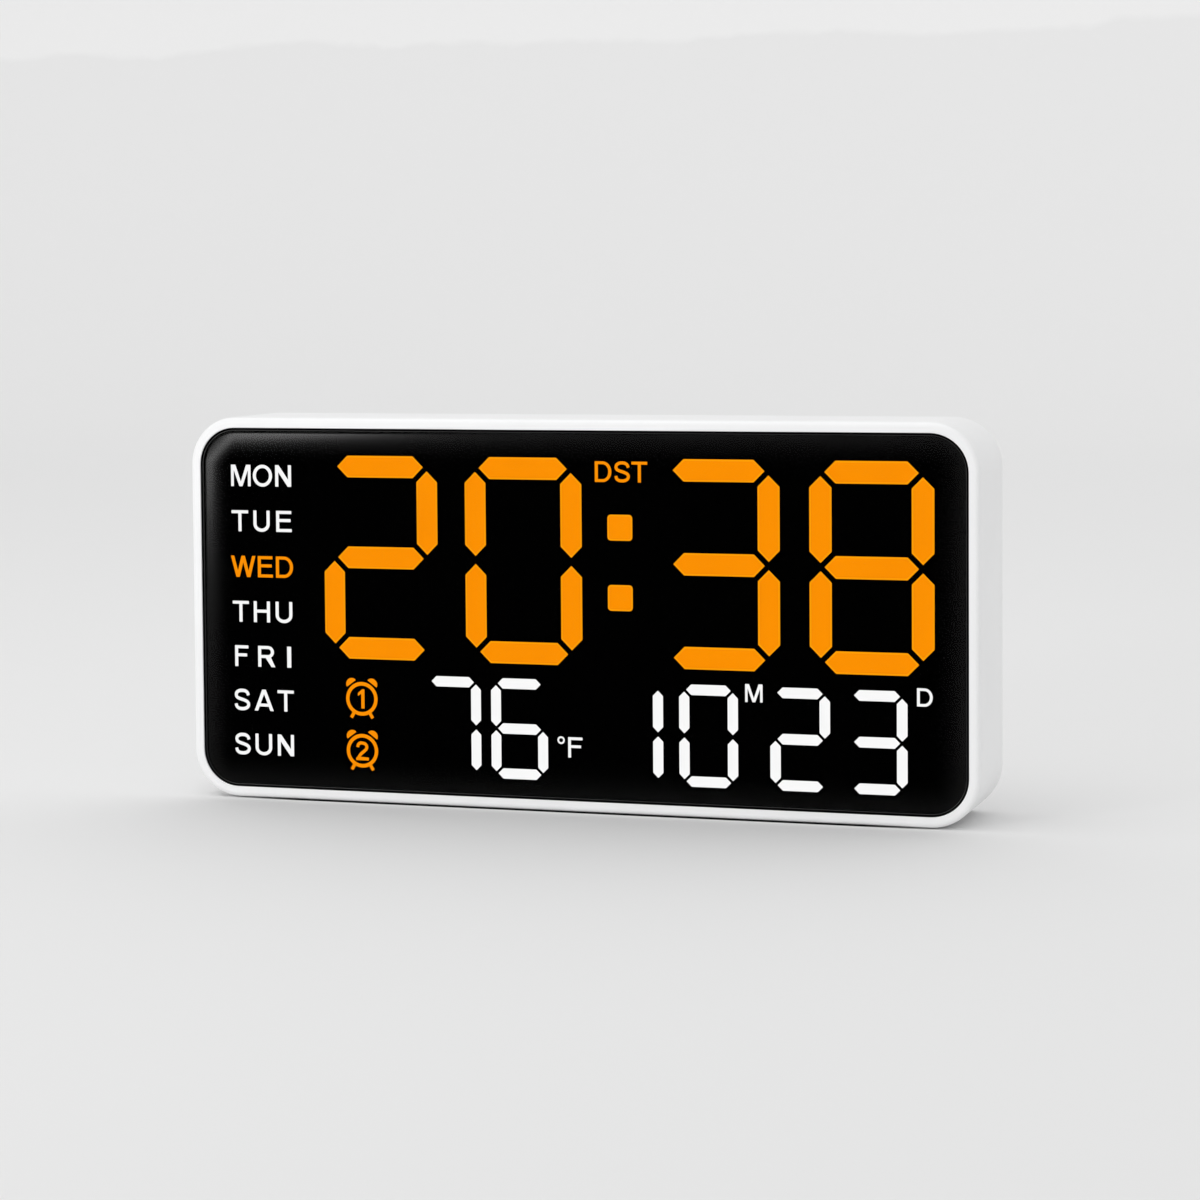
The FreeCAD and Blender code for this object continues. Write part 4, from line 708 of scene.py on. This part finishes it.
def make_lens():
    """The clear panel: flat in the middle, with a soft crown that falls away towards its edge."""
    start = GASKET_WIDTH + BEAD_WIDTH
    rings = [lens_ring(start, lens_back)]
    rings += [lens_ring(start + inset, lens_front + LENS_CROWN + depth) for inset, depth in EDGE_ROUND]
    shares = [0.0] + [1.0] * len(EDGE_ROUND)
    for step in range(CROWN_STEPS + 1):
        share = (1 - step / CROWN_STEPS) ** 2
        inset = start + CROWN_FOOT + CROWN_REACH * step / CROWN_STEPS
        rings.append(lens_ring(inset, lens_front + LENS_CROWN * share))
        shares.append(share)
    mesh = bmesh.new()
    satin = mesh.verts.layers.float.new("satin")
    stacked(mesh, rings)
    mesh.verts.ensure_lookup_table()
    count = len(rings[0])
    for i, share in enumerate(shares):
        for vert in mesh.verts[i * count:(i + 1) * count]:
            vert[satin] = share
    obj = link("lens_glass", finish_mesh(mesh, "lens_glass"), [smoked_lens], slot="smoked_lens",
               replaces=["lens_panel"])
    for face in obj.data.polygons:
        face.use_smooth = len(face.vertices) == 4


def make_bead():
    """A thin half-round lip moulded round the lens, which catches a fine line of light."""
    middle, half = GASKET_WIDTH + BEAD_WIDTH / 2, BEAD_WIDTH / 2
    base = lens_front + BEAD_DEPTH
    turns = [pi * k / BEAD_STEPS for k in range(BEAD_STEPS + 1)]
    rings = [lens_ring(middle + half, lens_back)]
    rings += [lens_ring(middle + half * cos(turn), base - BEAD_RISE * sin(turn)) for turn in turns]
    rings.append(lens_ring(middle - half, lens_back))
    mesh = bmesh.new()
    loops = [ring_verts(mesh, ring) for ring in rings]
    for a, b in zip(loops, loops[1:]):
        for face in band(mesh, a, b):
            face.smooth = True
    band(mesh, loops[-1], loops[0])
    link("lens_bead", finish_mesh(mesh, "lens_bead"), [bead_black], slot="smoked_lens")


def make_gasket():
    """A dark strip in the gap between the lens and the housing."""
    loops = [opening_outline(GASKET_PLAY), hole(opening_outline(GASKET_WIDTH - GASKET_LAP))]
    flat_piece("lens_gasket", [(loops, lens_front + GASKET_DEPTH, lens_back, 0)], [gasket_black],
               slot="rubber_black")


def make_border():
    """The black border printed on the back of the lens, around the window."""
    loops = [opening_outline(BORDER_INSET), hole(film_outline(BORDER_LAP, BORDER_CORNER_R))]
    front, back = lens_high.y - BORDER_FRONT_SINK, lens_high.y - BORDER_BACK_SINK
    flat_piece("lens_border_print", [(loops, front, back, 0)], [film_black], slot="film_black")


make_lens()
make_bead()
make_gasket()
make_border()

# ---------------------------------------------------------------------------------------------
# Printed film with the windows of the segments, words and signs
# ---------------------------------------------------------------------------------------------

# A word is its foot, its height and its letters, each with its left and right edge, measured on the lens. The
# small words also have their own stem and level stroke.
DAY_STEM, DAY_LEVEL = 1.29, 1.12
DAYS = [
    (110.0, 7.85, [("M", 12.83, 20.67), ("O", 21.5, 29.17), ("N", 30.33, 36.67)]),
    (93.5, 7.70, [("T", 12.83, 19.5), ("U", 21.5, 28.0), ("E", 30.5, 36.67)]),
    (76.75, 7.80, [("W", 12.33, 22.17), ("E", 23.0, 29.0), ("D", 30.17, 37.0)]),
    (60.3, 7.70, [("T", 12.83, 19.33), ("H", 21.17, 27.67), ("U", 29.83, 36.5)]),
    (43.95, 7.70, [("F", 13.5, 19.0), ("R", 22.67, 29.5), ("I", 34.17, 35.83)]),
    (27.8, 7.80, [("S", 13.0, 19.33), ("A", 21.0, 28.67), ("T", 30.17, 36.67)]),
    (11.5, 7.85, [("S", 13.0, 19.33), ("U", 21.17, 27.83), ("N", 30.0, 36.5)]),
]
SUMMER_TIME = (113.2, 7.3, [("D", 152.17, 158.33), ("S", 159.33, 165.17), ("T", 165.67, 171.5)], 1.18, 1.03)
SMALL_WORDS = [
    (15.2, 7.3, [("F", 141.5, 147.0)], 1.1, 1.0),
    (37.2, 6.3, [("M", 206.5, 212.8)], 1.02, 0.92),
    (37.7, 6.3, [("D", 267.3, 272.8)], 1.02, 0.92),
]
DEGREE_X, DEGREE_Z, DEGREE_R, DEGREE_HOLE_R = 138.9, 21.3, 1.4, 0.75
# the alarm signs: their places, then the ring, the bells and the legs, which lean by these degrees
ALARM_X, ALARM_Z = 63.0, {"1": 33.5, "2": 14.6}
RING_R, RING_HOLE_R = 6.15, 4.80
BELL_OUT, BELL_LEAN, BELL_RX, BELL_RZ = 6.80, 36, 2.15, 1.95
LEG_IN, LEG_OUT, LEG_LEAN, LEG_WIDTH = 6.0, 8.1, 31, 1.25
# the width, height, stem and level stroke of each number, and its left edge and foot from the ring's middle
ALARM_NUMBERS = {"1": (2.6, 7.0, 1.3, 1.1), "2": (5.0, 6.8, 1.2, 1.1)}
ALARM_NUMBER_X, ALARM_NUMBER_Z = {"1": -1.55, "2": -2.5}, -3.5


def word(z, height, letters, stem, level, shift=SIGN_SHIFT):
    """The outlines of a word."""
    loops = []
    for char, left, right in letters:
        loops += placed(LETTERS[char](right - left, height, stem, level), left, z)
    return on_lens(loops, shift)


def alarm_sign(cx, cz, number):
    """A small twin-bell clock with a number in its ring."""
    loops = [solid(circle(cx, cz, RING_R)), hole(circle(cx, cz, RING_HOLE_R))]
    for side in (-1, 1):
        turn = radians(90 - side * BELL_LEAN)
        bx, bz = cx + BELL_OUT * cos(turn), cz + BELL_OUT * sin(turn)
        spin = turn - pi / 2
        loops.append(solid([(bx + u * cos(spin) - v * sin(spin), bz + u * sin(spin) + v * cos(spin))
                            for u, v in arc(0, 0, BELL_RX, BELL_RZ, 0, 180, 14)]))
        leg = radians(270 + side * LEG_LEAN)
        ends = [(cx + r * cos(leg), cz + r * sin(leg)) for r in (LEG_IN, LEG_OUT)]
        loops.append(solid(stroke(ends, LEG_WIDTH)))
    digit = LETTERS[number](*ALARM_NUMBERS[number])
    return on_lens(loops + placed(digit, cx + ALARM_NUMBER_X[number], cz + ALARM_NUMBER_Z))


def sign_windows():
    """The windows of the day names, the small words, the alarm signs and the degree sign."""
    loops = []
    for z, height, letters in DAYS:
        loops += word(z, height, letters, DAY_STEM, DAY_LEVEL, DAY_SHIFT)
    loops += word(*SUMMER_TIME)
    for number, z in ALARM_Z.items():
        loops += alarm_sign(ALARM_X, z, number)
    loops += on_lens([solid(circle(DEGREE_X, DEGREE_Z, DEGREE_R, 24)),
                      hole(circle(DEGREE_X, DEGREE_Z, DEGREE_HOLE_R, 24))])
    for small in SMALL_WORDS:
        loops += word(*small)
    return loops


time_lit, time_unlit = solids_mm("time_segments_lit"), solids_mm("time_segments_unlit")
small_lit, small_unlit = solids_mm("small_segments_lit"), solids_mm("small_segments_unlit")
colon = solids_mm("colon_dots")

# how far the film laps over the edge of a guide, and how much wider than the lit front its window is
TIME_LAP, SMALL_LAP = 0.13, 0.10
WINDOW_PLAY = 0.01
DOT_CORNER_R, FILM_CORNER_R = 1.4, 4.7
# how far the film lies inside the front and the back of the CAD film
FILM_FRONT_SINK, FILM_BACK_SINK = 0.03, 0.01
film_front, film_back = film_low.y + FILM_FRONT_SINK, film_high.y - FILM_BACK_SINK


def dot(box, grow=0.0):
    """A colon dot with round corners, grown all round."""
    x0, x1, z0, z1 = box
    return rounded((x0 + x1) / 2, (z0 + z1) / 2, x1 - x0 + 2 * grow, z1 - z0 + 2 * grow,
                   DOT_CORNER_R + grow, count=8)


def make_film():
    """The black film, with a window for every segment, lit or not, and for every word and sign."""
    windows = [bar(box, WINDOW_PLAY - TIME_LAP) for box in time_lit + time_unlit]
    windows += [bar(box, WINDOW_PLAY - SMALL_LAP) for box in small_lit + small_unlit]
    windows += [dot(box, WINDOW_PLAY - TIME_LAP) for box in colon]
    loops = [film_outline(0.0, FILM_CORNER_R)] + [hole(loop) for loop in windows]
    loops += [loop[::-1] for loop in sign_windows()]
    flat_piece("mask_print", [(loops, film_front, film_back, 0)], [film_black], slot="film_black",
               replaces=["mask_film"])


make_film()

# ---------------------------------------------------------------------------------------------
# Lit guides: a flat core, a hairline and a brighter edge
# ---------------------------------------------------------------------------------------------

GUIDE_GAP = 0.01
guide_front = film_front + GUIDE_GAP
guide_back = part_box("time_segments_lit")[1].y / MM


def seen_only(obj):
    """Lets the camera see a lit guide, which is too dim to light or be mirrored in what is around it."""
    obj.visible_diffuse = False
    obj.visible_glossy = False


def lit_guides(name, outline, boxes, lap, edge, hair, materials, slot, replaces):
    """Guides whose front has a core, a bright edge and a hairline between them, with a material for each."""
    mesh = bmesh.new()
    for box in boxes:
        outlines = [outline(box, -lap - inset) for inset in (0.0, edge, edge + hair)]
        walls = [[(x, y, z) for x, z in outlines[0]] for y in (guide_back, guide_front)]
        stacked(mesh, walls, 1, caps=(True, False))
        outer, middle, inner = [ring_verts(mesh, [(x, guide_front, z) for x, z in loop]) for loop in outlines]
        for a, b, index in ((outer, middle, 1), (middle, inner, 2)):
            for face in band(mesh, a, b):
                face.material_index = index
        mesh.faces.new(inner).material_index = 0
    bmesh.ops.remove_doubles(mesh, verts=mesh.verts, dist=1e-7)
    seen_only(link(name, finish_mesh(mesh, name), materials, slot=slot, replaces=replaces))


orange_set = [orange_glow, orange_edge, orange_line]
white_set = [white_glow, white_edge, white_glow]
lit_guides("time_segments_glow", bar, time_lit, TIME_LAP, 0.70, 0.22, orange_set, "segment_orange",
           ["time_segments_lit"])
lit_guides("colon_glow", dot, colon, TIME_LAP, 0.65, 0.22, orange_set, "segment_orange", ["colon_dots"])
lit_guides("small_segments_glow", bar, small_lit, SMALL_LAP, 0.42, 0.15, white_set, "segment_white",
           ["small_segments_lit"])

for diffusers in ("white_sign_diffusers", "orange_sign_diffusers"):
    seen_only(nodes[diffusers])

# ---------------------------------------------------------------------------------------------
# Signs printed on the back
# ---------------------------------------------------------------------------------------------

COVER_BACK = 20.0
PRINT_PROUD, PRINT_SINK = 0.03, 0.02
SIGN_RISE = 9.2  # from the middle of a button to the middle of its sign
SET_HEIGHT, SET_STEM, SET_LEVEL = 3.4, 0.62, 0.55
SET_LETTERS = (("S", 2.5, -4.3), ("E", 2.3, -1.1), ("T", 2.6, 1.8))  # letter, width, left edge
SUN_R, RAY_IN, RAY_OUT, RAY_WIDTH = 1.15, 1.75, 2.6, 0.5
SUPPLY_WIDTH, SUPPLY_LINE, DASH_WIDTH, DASH_PITCH = 5.2, 0.5, 1.3, 1.95
# round the battery door: a dot where it is closed, a ring where it is open, and an arrow between them
DOOR_SIGN_R, DOOR_TURN = 15.6, 45
DOT_R, OPEN_R, OPEN_HOLE_R = 0.85, 0.95, 0.5
ARROW_START, ARROW_END, ARROW_TIP, ARROW_WIDTH, ARROW_HALF = 83, 56, 51.5, 0.45, 0.9
# the pointer and the plus on the door itself
POINTER_HALF, POINTER_FOOT, POINTER_TIP = 1.3, 8.9, 11.3
PLUS_X, PLUS_Z, PLUS_LENGTH, PLUS_WIDTH = -6.6, -5.6, 3.2, 0.7


def seen_from_behind(loops, x, z):
    """Outlines drawn as read from behind, placed round a point on the back."""
    mirrored = []
    for loop in loops:
        way = 1 if turned(loop, 1) is loop else -1
        mirrored.append(turned([(x - u, z + v) for u, v in loop], way))
    return mirrored


def middle_of(name):
    """The middle of a node's box, as (x, z)."""
    low, high = box_mm(name)
    return (low.x + high.x) / 2, (low.z + high.z) / 2


def block(x, z, width, height):
    """A rectangle round its middle."""
    left, right, low, high = x - width / 2, x + width / 2, z - height / 2, z + height / 2
    return solid([(left, low), (right, low), (right, high), (left, high)])


def set_word():
    loops = []
    for char, width, left in SET_LETTERS:
        loops += placed(LETTERS[char](width, SET_HEIGHT, SET_STEM, SET_LEVEL), left, -SET_HEIGHT / 2)
    return loops


def bell():
    dome = [(-2.3, -1.9), (2.3, -1.9), (2.3, -1.4), (1.7, -0.7)] + arc(0.0, 0.4, 1.6, 1.9, 0, 180, 16) + [
        (-1.7, -0.7), (-2.3, -1.4)]
    return [solid(dome), solid(arc(0.0, -2.2, 0.75, 0.6, 180, 360, 8))]


def sun():
    loops = [solid(circle(0.0, 0.0, SUN_R, 28))]
    for turn in range(0, 360, 45):
        c, s = cos(radians(turn)), sin(radians(turn))
        loops.append(solid(stroke([(RAY_IN * c, RAY_IN * s), (RAY_OUT * c, RAY_OUT * s)], RAY_WIDTH)))
    return loops


def supply_sign():
    """The sign of a direct current supply: a line over three dashes."""
    dashes = [block(x, -SUPPLY_LINE, DASH_WIDTH, SUPPLY_LINE) for x in (-DASH_PITCH, 0.0, DASH_PITCH)]
    return [block(0.0, SUPPLY_LINE, SUPPLY_WIDTH, SUPPLY_LINE)] + dashes


def door_signs(x, z):
    """The closed dot, the open ring and the arrow round the battery door's middle."""
    turn = radians(90 - DOOR_TURN)
    open_x, open_z = x + DOOR_SIGN_R * cos(turn), z + DOOR_SIGN_R * sin(turn)
    loops = [solid(circle(x, z + DOOR_SIGN_R, DOT_R, 24)), solid(circle(open_x, open_z, OPEN_R, 24)),
             hole(circle(open_x, open_z, OPEN_HOLE_R, 24))]
    loops.append(solid(stroke(arc(x, z, DOOR_SIGN_R, DOOR_SIGN_R, ARROW_START, ARROW_END, 16), ARROW_WIDTH)))
    head = ((DOOR_SIGN_R + ARROW_HALF, ARROW_END + 0.5), (DOOR_SIGN_R - ARROW_HALF, ARROW_END + 0.5),
            (DOOR_SIGN_R, ARROW_TIP))
    loops.append(solid([(x + r * cos(radians(a)), z + r * sin(radians(a))) for r, a in head]))
    return loops


def print_on_cover():
    signs = {
        "set_button": set_word(),
        "up_button": [solid([(-2.4, -1.8), (2.4, -1.8), (0.0, 2.2)])],
        "down_button": [solid([(-2.4, 1.8), (0.0, -2.2), (2.4, 1.8)])],
        "alarm_button": bell(),
        "dimmer_button": sun(),
        "power_socket_shell": supply_sign(),
    }
    loops = []
    for name, sign in signs.items():
        x, z = middle_of(name)
        loops += seen_from_behind(sign, x, z + SIGN_RISE)
    loops += door_signs(*middle_of("battery_door"))
    flat_piece("rear_print", [(loops, COVER_BACK - PRINT_SINK, COVER_BACK + PRINT_PROUD, 0)], [print_grey],
               slot="rubber_black")


def print_on_door():
    x, z = middle_of("battery_door")
    back = box_mm("battery_door")[1].y
    loops = [solid([(x - POINTER_HALF, z + POINTER_FOOT), (x + POINTER_HALF, z + POINTER_FOOT),
                    (x, z + POINTER_TIP)])]
    loops += [block(x + PLUS_X, z + PLUS_Z, PLUS_LENGTH, PLUS_WIDTH),
              block(x + PLUS_X, z + PLUS_Z, PLUS_WIDTH, PLUS_LENGTH)]
    flat_piece("door_print", [(loops, back - PRINT_SINK, back + PRINT_PROUD, 0)], [print_grey],
               body="battery_door", slot="rubber_black")


print_on_cover()
print_on_door()

# ---------------------------------------------------------------------------------------------
# Stage, lights and camera, in metres
# ---------------------------------------------------------------------------------------------

FLOOR_FRONT, FLOOR_BACK, STAGE_HALF = -6.0, 2.2, 8.0
BACKDROP_CURVE, BACKDROP_TOP = 1.2, 4.0
# the front and back of a dark strip under the clock, which paints the clock's contact shadow on the floor
PAINTED_SHADOW_FRONT, PAINTED_SHADOW_BACK = -0.0208, 0.0195
# how pale the stage is, by the run along its floor and then up its backdrop; the peak just in front of the
# clock is painted light that lifts the clock's shade on the floor
STAGE_TONES_AND_PAINTED_LIGHT = ((-0.5, 0.785), (-0.25, 0.83), (-0.13, 0.875), (-0.06, 0.90), (0.1, 0.825), (0.5, 0.86),
               (0.9, 0.91), (1.5, 0.985), (2.3, 0.995), (2.7, 0.99), (3.8, 0.94))
TONE_DRIFT = 0.12  # how far a noise shifts that run
# how pale the dark strip under the clock is, by the distance to either side of the clock's middle: it paints
# the clock's contact shadow and pales towards the clock's round ends
PAINTED_SHADOW_TONES = ((0.106, 0.02), (0.114, 0.06), (0.120, 0.20), (0.126, 0.52), (0.131, 0.81))
WORLD_STRENGTH = 0.845
CLOCK_MIDDLE = (0.0, 0.0, 0.07)


def stage_material():
    """Matt paper, painted paler towards the backdrop so that it looks even from the front, and paler in a
    band just in front of the clock, a painted light that lifts the clock's shade on the floor.
    """
    m = Nodes("stage_pale")
    place = m.add("ShaderNodeSeparateXYZ")
    m.join(m.coordinates, place.inputs["Vector"])
    along = m.add("ShaderNodeMath", operation="ADD")
    m.join(place.outputs["Y"], along.inputs[0])
    m.join(place.outputs["Z"], along.inputs[1])
    run = m.add("ShaderNodeMath", operation="MULTIPLY_ADD")
    m.join(m.noise(4.0, detail=4.0), run.inputs[0])
    run.inputs[1].default_value = TONE_DRIFT
    m.join(along.outputs["Value"], run.inputs[2])
    m.tones(run.outputs["Value"], STAGE_TONES_AND_PAINTED_LIGHT)
    return m.set(Roughness=0.9, Specular_IOR_Level=0.1).material


def painted_shadow_material():
    """A dark strip that paints the clock's contact shadow on the floor, paling towards the round ends of the
    clock.
    """
    m = Nodes("painted_contact_shadow")
    place = m.add("ShaderNodeSeparateXYZ")
    m.join(m.coordinates, place.inputs["Vector"])
    side = m.add("ShaderNodeMath", operation="ABSOLUTE")
    m.join(place.outputs["X"], side.inputs[0])
    m.tones(side.outputs["Value"], PAINTED_SHADOW_TONES)
    m.bump(m.noise(1200.0), 0.4, 0.00002)
    return m.set(Roughness=0.95, Specular_IOR_Level=0.1).material


def make_stage():
    """A floor that curves up into a backdrop, with a dark strip let in under the clock that paints its
    contact shadow.
    """
    profile = [(FLOOR_FRONT, 0.0), (PAINTED_SHADOW_FRONT, 0.0), (PAINTED_SHADOW_BACK, 0.0), (FLOOR_BACK, 0.0)]
    for turn in range(5, 91, 5):
        a = radians(turn)
        profile.append((FLOOR_BACK + BACKDROP_CURVE * sin(a), BACKDROP_CURVE - BACKDROP_CURVE * cos(a)))
    profile.append((FLOOR_BACK + BACKDROP_CURVE, BACKDROP_TOP))
    painted_shadow_half = PAINTED_SHADOW_TONES[-1][0]
    mesh = bmesh.new()
    columns = [[mesh.verts.new((x, y, z)) for y, z in profile]
               for x in (-STAGE_HALF, -painted_shadow_half, painted_shadow_half, STAGE_HALF)]
    for column, (left, right) in enumerate(zip(columns, columns[1:])):
        for i in range(len(profile) - 1):
            face = mesh.faces.new((left[i], right[i], right[i + 1], left[i + 1]))
            face.smooth = True
            face.material_index = int(column == 1 and i == 1)
    data = bpy.data.meshes.new("stage")
    mesh.to_mesh(data)
    mesh.free()
    data.materials.append(stage_material())
    # the second material is the dark strip that paints the clock's contact shadow
    data.materials.append(painted_shadow_material())
    obj = bpy.data.objects.new("stage", data)
    bpy.context.scene.collection.objects.link(obj)


def make_world():
    """A plain white world."""
    world = bpy.data.worlds.new("studio")
    bpy.context.scene.world = world
    world.use_nodes = True
    world.node_tree.nodes["Background"].inputs["Color"].default_value = (1.0, 1.0, 1.0, 1.0)
    world.node_tree.nodes["Background"].inputs["Strength"].default_value = WORLD_STRENGTH


def area_light(name, place, target, size, power, spin=0, spread=180):
    """A soft box that faces a target. A spin turns it in its own plane, and a grid can narrow its spread."""
    data = bpy.data.lights.new(name, "AREA")
    data.shape = "RECTANGLE"
    data.size, data.size_y = size
    data.energy = power
    data.spread = radians(spread)
    obj = bpy.data.objects.new(name, data)
    bpy.context.scene.collection.objects.link(obj)
    place, target = Vector(place), Vector(target)
    obj.location = place
    facing = (target - place).to_track_quat("-Z", "Y")
    obj.rotation_euler = (facing @ Quaternion((0.0, 0.0, 1.0), radians(spin))).to_euler()


def polar(distance, azimuth, elevation):
    """A place around the clock: azimuth 0 is straight in front, positive to the viewer's right."""
    a, e = radians(azimuth), radians(elevation)
    return (distance * sin(a) * cos(e), -distance * cos(a) * cos(e), CLOCK_MIDDLE[2] + distance * sin(e))


# the camera fitted to the photo, in radians, metres and the photo's pixels
CAMERA_YAW, CAMERA_PITCH, CAMERA_ROLL = 0.3107, 0.0530, -0.0075
CAMERA_PLACE = (0.34805, -1.06943, 0.18721)
FOCAL_PIXELS = 3145.0
FRAME_PIXELS = 1200.0
SHIFT_PIXELS = -150.0
SENSOR_MM = 36.0


def make_camera():
    """The photo's view, with its picture shifted down and a small roll."""
    data = bpy.data.cameras.new("camera")
    data.sensor_width = SENSOR_MM
    data.lens = FOCAL_PIXELS / FRAME_PIXELS * SENSOR_MM
    data.shift_y = SHIFT_PIXELS / FRAME_PIXELS
    data.clip_start, data.clip_end = 0.01, 50.0
    obj = bpy.data.objects.new("camera", data)
    bpy.context.scene.collection.objects.link(obj)
    forward = Vector((-sin(CAMERA_YAW) * cos(CAMERA_PITCH), cos(CAMERA_YAW) * cos(CAMERA_PITCH),
                      -sin(CAMERA_PITCH)))
    right = Vector((cos(CAMERA_YAW), sin(CAMERA_YAW), 0.0))
    up = right.cross(forward)
    rolled_right = cos(CAMERA_ROLL) * right + sin(CAMERA_ROLL) * up
    rolled_up = cos(CAMERA_ROLL) * up - sin(CAMERA_ROLL) * right
    matrix = Matrix((rolled_right, rolled_up, -forward)).transposed().to_4x4()
    matrix.translation = CAMERA_PLACE
    obj.matrix_world = matrix
    bpy.context.scene.camera = obj


make_stage()
make_world()
area_light("strip_softbox", polar(1.8, -33.5, 5.8), CLOCK_MIDDLE, size=(0.70, 0.11), power=0.57, spin=45,
           spread=50)
area_light("top_softbox", (-0.42, -0.42, 1.75), (0.0, 0.0, 0.0), size=(1.6, 1.2), power=6.0)
make_camera()

bpy.context.scene.view_settings.view_transform = "Standard"
